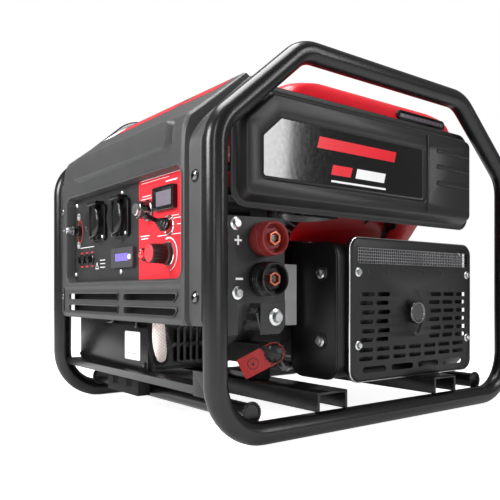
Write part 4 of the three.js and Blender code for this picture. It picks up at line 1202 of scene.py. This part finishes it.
def side_cover(side):
    """A moulded cover: flange, sloping walls, raised field, a sunk decal field, a rib and three bars."""
    sign = -1 if side == "right" else 1
    flange = sign * FLANGE_HALF
    face = sign * 259.5

    def at(y, corners, radius, amount):
        return lay("y", y, rounded(grown(corners, amount), max(radius + amount, 0.5), 6))

    def level(depth):
        return face - sign * depth

    build = Build()
    walls = [(flange - sign * 3.2, 17.0), (flange - sign * 1.0, RIM_GROW), (flange, RIM_GROW - 1.2),
             (flange + sign * 0.2, 12.0), (flange + sign * 1.2, 9.6), (level(2.2), 1.8), (level(0.7), 0.4),
             (level(0), -1.6)]
    inner = [(flange - sign * 3.2, 17.0), (flange - sign * 3.2, 11.0), (level(3.0), -1.6), (level(4.6), -4.0)]
    dip = [(level(0), 1.6), (level(0.6), 0.4), (level(3.2), -1.2), (level(4.0), -2.6)]
    build.loft([at(y, FIELD, 9, g) for y, g in walls])
    build.sheet(at(level(0), FIELD, 9, -1.6), [at(level(0), DECAL_FIELD, 8, 1.6)])
    build.loft([at(y, DECAL_FIELD, 8, g) for y, g in dip])
    build.sheet(at(level(4.0), DECAL_FIELD, 8, -2.6), [])
    build.loft([at(y, FIELD, 9, g) for y, g in inner])
    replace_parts(build.piece(f"side_shell_{side}", SIDE_GREY_SHADED, angle=34), f"side_cover_{side}")
    film = rounded(grown(DECAL_FIELD, -5.5), 4, 5)
    slab(f"side_film_{side}", "y", (level(3.9), level(3.4)), film, GLOSS)
    film_bands(side, level)
    rib = [(100.5, 338), (106, 338), (106, 472), (100.5, 472)]
    bars = [[(126, z - 4), (222, z - 4), (222, z + 4), (131, z + 4)] for z in (448, 421, 393)]
    spots = [(level(0) + sign * 0.05, 0), (level(-1.6), -0.4), (level(-2.2), -1.2)]
    for i, corners in enumerate([rib, *bars]):
        loops = [lay("y", y, rounded(grown(corners, g), 1.8, 4)) for y, g in spots]
        Build().loft(loops, True, True).piece(f"side_rib_{side}_{i}", SIDE_GREY_SHADED)


def film_bands(side, level):
    """Plain slanting bands on the glossy film, in place of any lettering."""
    bands = (
        ("red_wide", TANK_RED, -150, 26, 414, 431), ("red_short", TANK_RED, -122, -76, 378, 393),
        ("white_short", WHITE, -70, 0, 378, 393), ("white_thin", WHITE, -122, 0, 367, 370),
    )
    for name, material, x0, x1, z0, z1 in bands:
        lean = (z1 - z0) * 0.3
        outline = [(x0, z0), (x1 - lean, z0), (x1, z1), (x0 + lean, z1)]
        slab(f"film_{name}_{side}", "y", (level(3.38), level(3.22)), outline, material)


# ---------------------------------------------------------------- tank
def fuel_tank():
    """Two pressed shells with rounded corners, joined by a rolled seam."""
    x, y, (low, high) = limits("fuel_tank")
    seam = low + (high - low) * 0.36
    half = (y[1] - y[0]) / 2 - 7
    x0, x1 = x[0] + 7, x[1] - 7
    # height, how far the front, the sides and the rear stand in, and the corners' radius
    levels = [
        (low + 0.4, 30, 26, 26, 20), (low + 1.6, 20, 16, 16, 22), (low + 6, 10, 8, 8, 26),
        (low + 14, 3, 2.4, 2.4, 30), (low + 24, 0.6, 0.4, 0.4, 32), (seam, 0, 0, 0, 33),
        (seam + 14, 1.2, 0.6, 0.6, 33), (seam + 26, 5, 2.2, 2.4, 33), (high - 26, 20, 6, 10, 33),
        (high - 15, 44, 12, 24, 32), (high - 7, 72, 22, 44, 30), (high - 3.5, 92, 32, 60, 28),
        (high - 2.4, 112, 46, 80, 24),
    ]
    loops = []
    for height, front, side, rear, radius in levels:
        near, far, wide = x0 + front, x1 - rear, half - side
        corners = [(near, -wide), (far, -wide), (far, wide), (near, wide)]
        loops.append(lay("z", height, rounded(corners, radius, 8)))
    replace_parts(Build().loft(loops, True, True).piece("tank_shell", TANK_RED, angle=50), "fuel_tank")
    rim = [(2.2, -0.8), (2.2, 5.6), (1.6, 6.4), (-1.6, 6.4), (-2.2, 5.6), (-2.2, -0.8), (2.2, -0.8)]
    corners = [(x0, -half), (x1, -half), (x1, half), (x0, half)]
    loops = [lay("z", seam + a, rounded(grown(corners, g), 33 + g, 8)) for a, g in rim]
    Build().loft(loops).piece("tank_seam", TANK_RED, angle=40)
    tank_window(-half)
    filler(high)


def tank_window(face):
    """A level window in the tank's side: a rounded frame with hatched pale glass."""
    x, z = (76, 206), (502, 519)

    def outline(place, grow):
        return lay("y", face + place, rect(x, z, 7, grow, 8))

    build = Build().loft([outline(5, 0), outline(-0.4, 0), outline(-1.2, -0.8)], True, False)
    build.sheet(outline(-1.2, -0.8), [outline(-1.2, -4.2)])
    build.loft([outline(-1.2, -4.2), outline(-0.4, -5.0)], False, True)
    build.piece("gauge_frame", BLACK)
    Build().loft([outline(-0.5, -5.1), outline(-0.8, -5.6)], True, True).piece("gauge_glass", LCD)
    for i in range(9):
        at = x[0] + 16 + i * 12.2
        corners = [(at, z[0] + 6), (at + 1.2, z[0] + 6), (at + 4.2, z[1] - 6), (at + 3.0, z[1] - 6)]
        print_mark(f"gauge_tick_{i}", "y", face - 0.8, corners, METER_GREY, 0.15)


def filler(top):
    """The tank's neck, and the fluted cap with its finger bar."""
    x, y, (base, lift) = limits("fuel_cap")
    centre = (sum(x) / 2, sum(y) / 2)
    r = (x[1] - x[0]) / 2
    neck = [(33, top - 8), (36, top - 6), (36, base - 0.4), (31, base - 0.4), (31, top - 8), (33, top - 8)]
    lathe("filler_neck", "z", centre, neck, BLACK, sides=72)
    levels = [(base + 0.1, -2.0, 0.4), (base + 0.8, -0.2, 1), (lift - 6, -0.2, 1), (lift - 3.4, -1.0, 0.8),
              (lift - 1.8, -3.4, 0.2)]
    grip = fluted(Build(), "z", centre, r, 1.9, 16, levels, 192)
    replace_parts(grip.piece("cap_grip", BLACK, "fuel_cap"), "fuel_cap")
    lid = [(0, -1.7), (r - 8, -1.7), (r - 9, -0.4), (r - 14, -0.1), (r - 15, -1.0), (0, -1.1)]
    lathe("cap_disc", "z", centre, out_from(lift, lid), BLACK, "fuel_cap", 72)
    x, y = centre
    block("cap_bar", (x - 24, x + 24), (y - 5, y + 5), (lift - 1.2, lift), 2.4, BLACK, "fuel_cap", 0.6, "z")


def cradle():
    dress("tank_cradle", FRAME_PAINT, 0.8)
    for k, (y, x) in enumerate((y, x) for y in (-224.54, 224.54) for x in (-120, 210)):
        bolt(f"cradle_bolt_{k}", "z", 433.7, (x, y), 4.4, way=1)


# ---------------------------------------------------------------- engine and alternator
# each dressed node's look, edge width and edge steps
ENGINE_LOOKS = {
    "stator": (IRON, 0.6, 2), "end_cover": (ALLOY, 1.2, 2), "rotor": (STEEL, 0.8, 2),
    "crankcase": (ALLOY, 2.0, 3),
    "cylinder": (ALLOY, 0.5, 2), "cylinder_cowl": (RED_SHEET, 2.0, 3), "flywheel": (IRON, 0.6, 2),
    "fan_cover": (RED_SHEET, 2.4, 3), "recoil_starter": (HEAT_BLACK, 1.6, 3), "exhaust_pipe": (STEEL, 1.0, 2),
    "carburettor": (ALLOY, 0.8, 2), "starter_motor": (HEAT_BLACK, 1.4, 2), "battery": (BLACK_MATT, 1.2, 2),
    "air_filter": (BLACK_MATT, 1.8, 3),
}


def engine():
    for node, (material, width, steps) in ENGINE_LOOKS.items():
        dress(node, material, width, steps)
    for i in range(4):
        dress(f"rubber_mount_{i + 1}", RUBBER, 1.2)
    alternator_trim()
    oil_filler()
    recoil()
    rope()
    choke_lever()
    battery_trim()
    air_filter()
    hoses()


def spokes(count, inner, outer):
    """Tapered outlines set round the origin; inner and outer are (radius, half width)."""
    for i in range(count):
        t = 2 * math.pi * i / count
        out = Vector((math.cos(t), math.sin(t)))
        across = Vector((-out.y, out.x))
        yield [out * inner[0] - across * inner[1], out * inner[0] + across * inner[1],
               out * outer[0] + across * outer[1], out * outer[0] - across * outer[1]]


def alternator_trim():
    (front, _), y, _ = limits("end_cover")
    r = (y[1] - y[0]) / 2
    axis = Vector((0, CRANK_Z))
    # dark slabs in the shape of vent slots: painted shade standing for the dark inside of the openings
    for i, corners in enumerate(spokes(18, (r * 0.46, 2.52), (r * 0.82, 4.2))):
        outline = rounded([c + axis for c in corners], 1.8, 3)
        slab(f"end_slot_shade_{i}", "x", (front + 0.4, front - 0.1), outline, HEAT_BLACK)
    for i in range(4):
        t = math.radians(45 + 90 * i)
        bolt(f"end_bolt_{i}", "x", front, (r * 0.9 * math.cos(t), CRANK_Z + r * 0.9 * math.sin(t)), 4.2)
    x, _, z = limits("stator")
    radius = z[1] - CRANK_Z
    rim = [(radius - 0.8, -0.9), (radius + 0.25, -0.6), (radius + 0.25, 0.6), (radius - 0.8, 0.9),
           (radius - 0.8, -0.9)]
    for i in range(14):
        at = x[0] + 6 + i * (x[1] - x[0] - 12) / 13
        lathe(f"stator_edge_{i}", "x", (0, CRANK_Z), out_from(at, rim), IRON, sides=96)


OIL_AT = Vector((-130, -133, 105))
OIL_TURN = math.radians(-37.8)
TAG_LEAN = math.radians(27.5)


def facing_oil(build):
    """Swings a form drawn round the origin, looking along -Y, to where the oil filler looks."""
    c, s = math.cos(OIL_TURN), math.sin(OIL_TURN)
    for point in build.points:
        x, y = point.x - ORIGIN_X, point.y
        point.x = x * c - y * s + OIL_AT.x * MM + ORIGIN_X
        point.y = x * s + y * c + OIL_AT.y * MM
        point.z += OIL_AT.z * MM
    return build


def oil_filler():
    """The ribbed cap with its wing, the red tag behind it, and the filler pipe from the crankcase."""
    levels = [(4.4, -0.8, 0.2), (3.6, 0, 1), (-2.6, -0.2, 1), (-4.0, -1.0, 0.6), (-4.6, -3.0, 0.1)]
    grip = facing_oil(fluted(Build(), "y", (0, 0), 16, 1.5, 14, levels, 168))
    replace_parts(grip.piece("oil_cap_grip", BLACK, "oil_cap"), "oil_cap")
    for k in range(7):
        outline = rib_end(math.radians(-100 + 28 * k))
        facing_oil(Build().loft([lay("y", a, outline) for a in (4.2, 2.6)], True, True)).piece(
            f"oil_cap_rib_{k}", BLACK, "oil_cap")
    shape = rounded([(-24, 9), (-21, 15), (-4, 6.5), (13, -2), (13, -7.5), (-8, -1)], 1.6, 3)
    middle = Vector((-3, 3.5))
    loops = [lay("y", a, [middle + (p - middle) * share for p in shape])
             for a, share in ((-4.4, 1), (-7.4, 1), (-8.4, 1 - 0.7 / 8))]
    facing_oil(Build().loft(loops, True, True)).piece("oil_cap_wing", BLACK, "oil_cap")
    c, d = math.cos(TAG_LEAN), math.sin(TAG_LEAN)
    half = 17.7
    tag = rounded([(-60, -half, 2), (0, -half, 17), (18, -half, 17.4), (18, half, 17.4), (0, half, 17),
                   (-60, half, 2)],
                  2, 8)
    tag = [Vector((p.x * c - p.y * d, p.x * d + p.y * c)) for p in tag]
    facing_oil(Build().loft([lay("y", a, tag) for a in (5.5, 4.6)], True, True)).piece("oil_tag", TAG_RED)
    drop_mark()
    collar = [(0, 7.6), (13, 7.6), (13.6, 9), (12.4, 12), (9.4, 13.4), (8, 16), (0, 16)]
    facing_oil(turned(Build(), "y", (0, 0), collar, 40)).piece("oil_collar", BLACK)
    cable("oil_pipe", [(-120.5, -120.8, 104), (-112, -119.5, 96), (-98, -117, 84), (-84, -109, 78),
                       (-60, -103, 80),
                       (-30, -98, 88), (-5.2, -95, 95)], 7.2, STEEL, 24)
    clip = [(7.4, -3), (8.8, -3), (8.8, 3), (7.4, 3), (7.4, -3)]
    for k, (x, y, z) in enumerate(((-84, -108.5, 78.5), (-46, -101.5, 83.5))):
        lathe(f"oil_clip_{k}", "x", (y, z), out_from(x, clip), ZINC, sides=32)


def rib_end(t):
    """The four corners of a short rib that stands out from the cap's rim at an angle."""
    out, across = Vector((math.cos(t), math.sin(t))), Vector((-math.sin(t), math.cos(t)))
    return [out * a + across * b for a, b in ((14, -0.9), (20, -0.9), (20, 0.9), (14, 0.9))]


def drop_mark():
    """A ring round a plain drop on the tag."""
    centre = Vector((math.cos(TAG_LEAN), math.sin(TAG_LEAN))) * -38
    band = [(8.2, 4.56), (9.4, 4.56), (9.4, 4.3), (8.2, 4.3), (8.2, 4.56)]
    facing_oil(turned(Build(), "y", centre, band)).piece("tag_ring", BLACK)
    drop = []
    for i in range(40):
        t = 2 * math.pi * i / 40
        rise = max(math.sin(t), 0)
        r = 2.6 * (1 + 0.9 * rise ** 6)
        drop.append(centre + Vector((2.2 * math.cos(t) * (1 - 0.5 * rise), r * math.sin(t) - 0.8)))
    facing_oil(Build().loft([lay("y", a, drop) for a in (4.58, 4.3)], True, True)).piece("tag_drop", BLACK)


def recoil():
    """Louvres and bolts on the starter housing, and the handle's grip."""
    front = limits("recoil_starter")[0][1]
    axis = Vector((0, CRANK_Z))
    for i, corners in enumerate(spokes(16, (40, 3), (66, 5))):
        outline = [axis + c for c in rounded(corners, 2.4, 3)]
        slab(f"recoil_slot_{i}", "x", (front - 0.6, front + 0.2), outline, BLACK_MATT)
    fan_front = limits("fan_cover")[0][1]
    for i in range(3):
        t = math.radians(90 + 120 * i)
        bolt(f"recoil_bolt_{i}", "x", fan_front, (104 * math.cos(t), CRANK_Z + 104 * math.sin(t)), 4.4, way=1)
    x, y, z = limits("recoil_handle")
    centre = Vector((sum(y) / 2, sum(z) / 2))
    width, height = (y[1] - y[0]) / 2, (z[1] - z[0]) / 2
    levels = [(x[0] + 0.2, 0.52), (x[0] + 2, 0.62), (x[0] + 6, 0.72), (x[0] + 12, 0.9), (x[1] - 7, 1.0),
              (x[1] - 3, 0.98), (x[1] - 0.8, 0.86), (x[1], 0.6)]
    loops = []
    for a, share in levels:
        wide, high = width * share, height * min(share * 1.1, 1)
        outline = rect((-wide, wide), (-high, high), min(height, width) * 0.5 * share, 0, 6)
        loops.append(lay("x", a, [centre + p for p in outline]))
    piece = Build().loft(loops, True, True).piece("handle_grip", BLACK, "recoil_handle", 40)
    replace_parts(piece, "recoil_handle")


def rope():
    """The starter's rope, which a pull draws out of the housing."""
    x, y, z = limits("recoil_handle")
    centre = (sum(y) / 2, sum(z) / 2)
    route = [P(x[0] - 14 + k, *centre) for k in range(18)]
    piece = tube(Build(), route, 1.8, 12).piece("recoil_rope", BLACK_MATT, None)
    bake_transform(piece)


def choke_lever():
    dress("choke_lever", STEEL, 0.4)
    face = limits("choke_lever")[0][1]
    bolt("choke_pivot", "x", face, (57, 366), 3.0, way=1, body="choke_lever", washer=1.4)


def battery_trim():
    x, y, _ = limits("battery")
    inside = ((x[0] + 1, x[1] - 1), (y[0] + 1, y[1] - 1))
    block("battery_lid", *inside, (205.4, 210), 3, BLACK_MATT, edge=1.2, axis="z")
    vent = [(0, 222), (7.4, 222), (7.4, 223.6), (6.6, 224.4), (2.6, 224.4), (2.4, 223.4), (0, 223.4)]
    for i in range(6):
        lathe(f"battery_vent_{i}", "z", (x[0] + 24 + i * 25, y[1] - 20), vent, BLACK, sides=32)
    clamp = [(6.4, 224.5), (10.5, 224.5), (10.5, 230), (9.4, 231), (6.4, 231), (6.4, 224.5)]
    for k, at in enumerate((-170, -32)):
        lathe(f"battery_clamp_{k}", "z", (at, 165), clamp, ZINC, sides=32)
    cable("battery_lead_red", [(-32, 158, 227), (-20, 150, 232), (6, 142, 246), (24, 134, 262),
                               (34, 130, 276)], 4.2,
          RED_PLASTIC)
    cable("battery_lead_black", [(-170, 158, 227), (-184, 148, 222), (-196, 130, 196), (-198, 118, 150),
                                 (-190, 112, 118)], 4.2, BLACK)
    block("battery_strap", (-112, -90), (y[0] - 1.6, y[1] + 1.6), (222.4, 224.6), 1, STEEL, edge=0.5,
          axis="z")


def air_filter():
    x, y, z = limits("air_filter")
    for i in range(5):
        at = z[0] + 24 + i * 15
        block(f"filter_rib_{i}", (x[0] + 12, x[1] - 12), (y[1] - 1.6, y[1] + 0.9), (at, at + 4), 1.6,
              BLACK_MATT,
              edge=0.6, axis="y")


def hoses():
    cable("fuel_hose", [(65, 60, 340), (84, 66, 334), (104, 70, 350), (112, 60, 388), (104, 40, 420),
                        (96, 28, 434)],
          4.0, RUBBER)
    cable("ignition_lead", [(92, -128, 338), (108, -150, 352), (128, -158, 350), (150, -150, 330),
                            (166, -120, 322)],
          3.6, RUBBER)
    boot = spline([(84, -122, 332), (90, -126, 336), (98, -136, 344)], 6)
    tube(Build(), boot, 8, 24, taper=lambda t: 8.5 - 3.5 * t).piece("spark_boot", RUBBER)


# ---------------------------------------------------------------- muffler and its shield
def muffler():
    """The pressed shell's rolled joint, and its bolts on raised washers."""
    dress("muffler", HEAT_BLACK, 1.0)
    (front, _), y, z = limits("muffler")
    joint = [(2, -0.6), (2.6, 1.54), (5, 2.0), (7.4, 1.54), (8, -0.6), (2, -0.6)]
    loops = [lay("x", front + a, rect(y, z, 26, g)) for a, g in joint]
    Build().loft(loops).piece("muffler_seam_front", HEAT_BLACK, angle=60)
    washer = [(6, 0), (13, 0), (13.4, -1.4), (12.4, -2.6), (9, -2.8), (6, -2)]
    for k, spot in enumerate(((-192, 235), (-190, 126))):
        lathe(f"muffler_washer_{k}", "x", spot, out_from(front, washer), HEAT_BLACK, sides=40)
        bolt(f"muffler_bolt_{k}", "x", front - 2.0, spot, 5.4)


DISH = (97, 170)
SLOT_ROWS = [(201, 4), (187, 0), (172, 4), (157, 0), (142, 4), (128, 0)]


def slot_outline(x, z, length, height=7.0):
    return rect((x, x + length), (z - height / 2, z + height / 2), height / 2 - 0.05, 0, 6)


def shield_slots():
    """All openings of the shield's face, as outlines in (x, z)."""
    holes = [rect((-46, 249), (250, 276), 6, 0, 6)]
    for z, shift in SLOT_ROWS:
        holes += [slot_outline(shift + x, z, 30) for x in (-40, -2, 136, 174, 212)]
    for z in (112, 98):
        holes += [slot_outline(-42 + 41 * k, z, 32) for k in range(7)]
    return holes + [slot_outline(-34 + 70 * k, 80, 56, 10) for k in range(4)]


def lobed(grow):
    """The round dish in the shield's face, with a lobe above and one below."""
    points = []
    for k in range(96):
        t = 2 * math.pi * k / 96
        r = 29 + grow + 12 * abs(math.sin(t)) ** 9
        points.append(Vector((DISH[0] + r * math.cos(t), DISH[1] + r * math.sin(t))))
    return points


def heat_shield():
    """A pressed cover: rolled rim, slotted face with a mesh window, a sunk dish with a cap, a bright bead."""
    x, (front, back), z = limits("heat_shield")

    def outline(place, grow):
        return lay("y", place, rect(x, z, 20, grow, 10))

    build = Build()
    rim = [(back, -0.8), (back - 3, 0), (front + 6, 0), (front + 2.2, -0.8), (front + 0.6, -2.4), (front, -5)]
    inner = [(back, -2.4), (front + 6, -1.8), (front + 2.0, -4.2), (front + 1.6, -5)]
    dish = [(front, 0), (front + 0.6, -1.2), (front + 3.0, -3.4), (front + 3.4, -5)]
    holes = shield_slots()
    build.loft([outline(a, g) for a, g in rim])
    for face in (front, front + 1.6):
        build.sheet(outline(face, -5), [lay("y", face, hole) for hole in [*holes, lobed(0)]])
    for hole in holes:
        build.loft([lay("y", a, hole) for a in (front, front + 1.6)])
    build.loft([lay("y", a, lobed(g)) for a, g in dish], False, True)
    build.loft([outline(a, g) for a, g in inner])
    build.loft([outline(back, -0.8), outline(back, -2.4)])
    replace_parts(build.piece("shield_shell", HEAT_BLACK, angle=36), "heat_shield")
    window_mesh(front)
    cap = [(0, 3.2), (19.5, 3.2), (19.5, -6.6), (18.4, -8.2), (16.6, -8.6), (15.2, -8.2), (14.4, -7.2),
           (0, -7.2)]
    lathe("shield_cap", "y", DISH, out_from(front, cap), GUNMETAL, sides=64)
    for k, (b, a) in enumerate((b, a) for b in (236, 120) for a in (-44, 248)):
        bolt(f"shield_bolt_{k}", "y", front, (a, b), 4.2)
    dimple = [(0, 0.1), (3.6, 0.1), (3.4, -0.5), (2.4, -0.9), (0, -1.0)]
    for k in range(6):
        lathe(f"shield_dimple_{k}", "y", (-20 + 48 * k, 238), out_from(front, dimple), HEAT_BLACK, sides=28)
    bead = lay("y", front + 4.2, rect(x, z, 20, -0.6, 14))
    tube(Build(), bead, 1.5, 12, closed=True).piece("shield_bead", CHROME)


def window_mesh(front):
    """Woven wire behind the window, in front of upright ribs."""
    build = Build()
    for i in range(59):
        x = -46 + 5 * i
        wire(build, (x, 249), (x, 277), front + 2.6, i % 2)
    for k in range(6):
        z = 251 + 4.8 * k
        wire(build, (-47, z), (250, z), front + 2.6, k % 2)
    build.piece("window_mesh", STEEL)
    for i in range(16):
        x = -38 + 18.4 * i
        block(f"window_rib_{i}", (x, x + 6), (front + 6.2, front + 8.0), (248, 278), 1, HEAT_BLACK, edge=0.4,
              axis="z")


def wire(build, start, end, y, phase):
    a, b = Vector(start), Vector(end)
    steps = max(int((b - a).length / 4), 4)
    route = []
    for k in range(steps + 1):
        p = a.lerp(b, k / steps)
        route.append(P(p.x, y + 0.45 * (1 if (k + phase) % 2 else -1), p.y))
    tube(build, route, 0.55, 6)


# ---------------------------------------------------------------- scene
def camera_and_light():
    collection = bpy.context.scene.collection
    camera = bpy.data.cameras.new("camera")
    camera.lens = 44.78
    camera.sensor_width = 36
    camera.shift_x = -0.012
    camera.shift_y = 0.086
    camera.clip_start = 0.05
    eye = bpy.data.objects.new("camera", camera)
    eye.location = P(-772, -914.5, 203)
    eye.rotation_euler = (math.radians(90), 0, math.radians(52.24 - 90))
    collection.objects.link(eye)
    bpy.context.scene.camera = eye
    middle = Vector((0, 0, 0.28))
    lights = (
        ("panel_key", (-2.3, 0.3, 1.3), (1.0, 1.0), 66),
        ("top", (-0.3, 0.1, 2.4), (1.4, 1.4), 64),
        ("side_strip", (1.5, -2.4, 1.5), (0.3, 1.8), 24),
        ("corner_strip", (-1.9, -1.9, 1.3), (0.16, 1.7), 14),
        ("low_fill", (-0.5, -2.4, 0.3), (1.4, 0.4), 5),
    )
    for name, spot, size, power in lights:
        light = bpy.data.lights.new(name, "AREA")
        light.shape = "RECTANGLE"
        light.size, light.size_y = size
        light.energy = power
        stand = bpy.data.objects.new(name, light)
        stand.location = spot
        stand.rotation_euler = (middle - Vector(spot)).to_track_quat("-Z", "Y").to_euler()
        collection.objects.link(stand)
    world = bpy.data.worlds.new("studio")
    world.use_nodes = True
    nodes, links = world.node_tree.nodes, world.node_tree.links
    dim = nodes["Background"]
    dim.inputs["Color"].default_value = (1, 1, 1, 1)
    dim.inputs["Strength"].default_value = 0.24
    seen = add(nodes, "Background", Color=(1, 1, 1, 1), Strength=1.0)
    path = add(nodes, "LightPath")
    mix = add(nodes, "MixShader")
    links.new(path.outputs["Is Camera Ray"], mix.inputs["Fac"])
    links.new(dim.outputs["Background"], mix.inputs[1])
    links.new(seen.outputs["Background"], mix.inputs[2])
    links.new(mix.outputs["Shader"], nodes["World Output"].inputs["Surface"])
    bpy.context.scene.world = world
    bpy.context.scene.view_settings.view_transform = "Standard"


def floor():
    """A white floor that only darkens where the machine shades it."""
    reach = 6.0
    mesh = bpy.data.meshes.new("floor")
    corners = [(-reach, -reach, 0), (reach, -reach, 0), (reach, reach, 0), (-reach, reach, 0)]
    mesh.from_pydata(corners, [], [(0, 1, 2, 3)])
    material = surface("studio_white", (0.82, 0.82, 0.82), 0.6, vary=0.0, grain=300, bump=0.0)
    nodes, links = material.node_tree.nodes, material.node_tree.links
    shader = nodes["Principled BSDF"]
    shader.inputs["Emission Color"].default_value = (1, 1, 1, 1)
    path = add(nodes, "LightPath")
    glow = add(nodes, "MapRange", To_Min=0.16, To_Max=0.9)
    links.new(path.outputs["Is Camera Ray"], glow.inputs["Value"])
    links.new(glow.outputs["Result"], shader.inputs["Emission Strength"])
    mesh.materials.append(material)
    piece = bpy.data.objects.new("floor", mesh)
    bpy.context.scene.collection.objects.link(piece)


for build_part in (
    frame_tubes, panel_cover, control_plate, sockets, key_and_switch, display_and_meter, mode_lever, lamp,
    knob,
    breakers, earth_stud, electrics, terminals, under_terminals,
):
    build_part()
side_cover("right")
side_cover("left")
for build_part in (fuel_tank, cradle, engine, muffler, heat_shield, floor, camera_and_light):
    build_part()
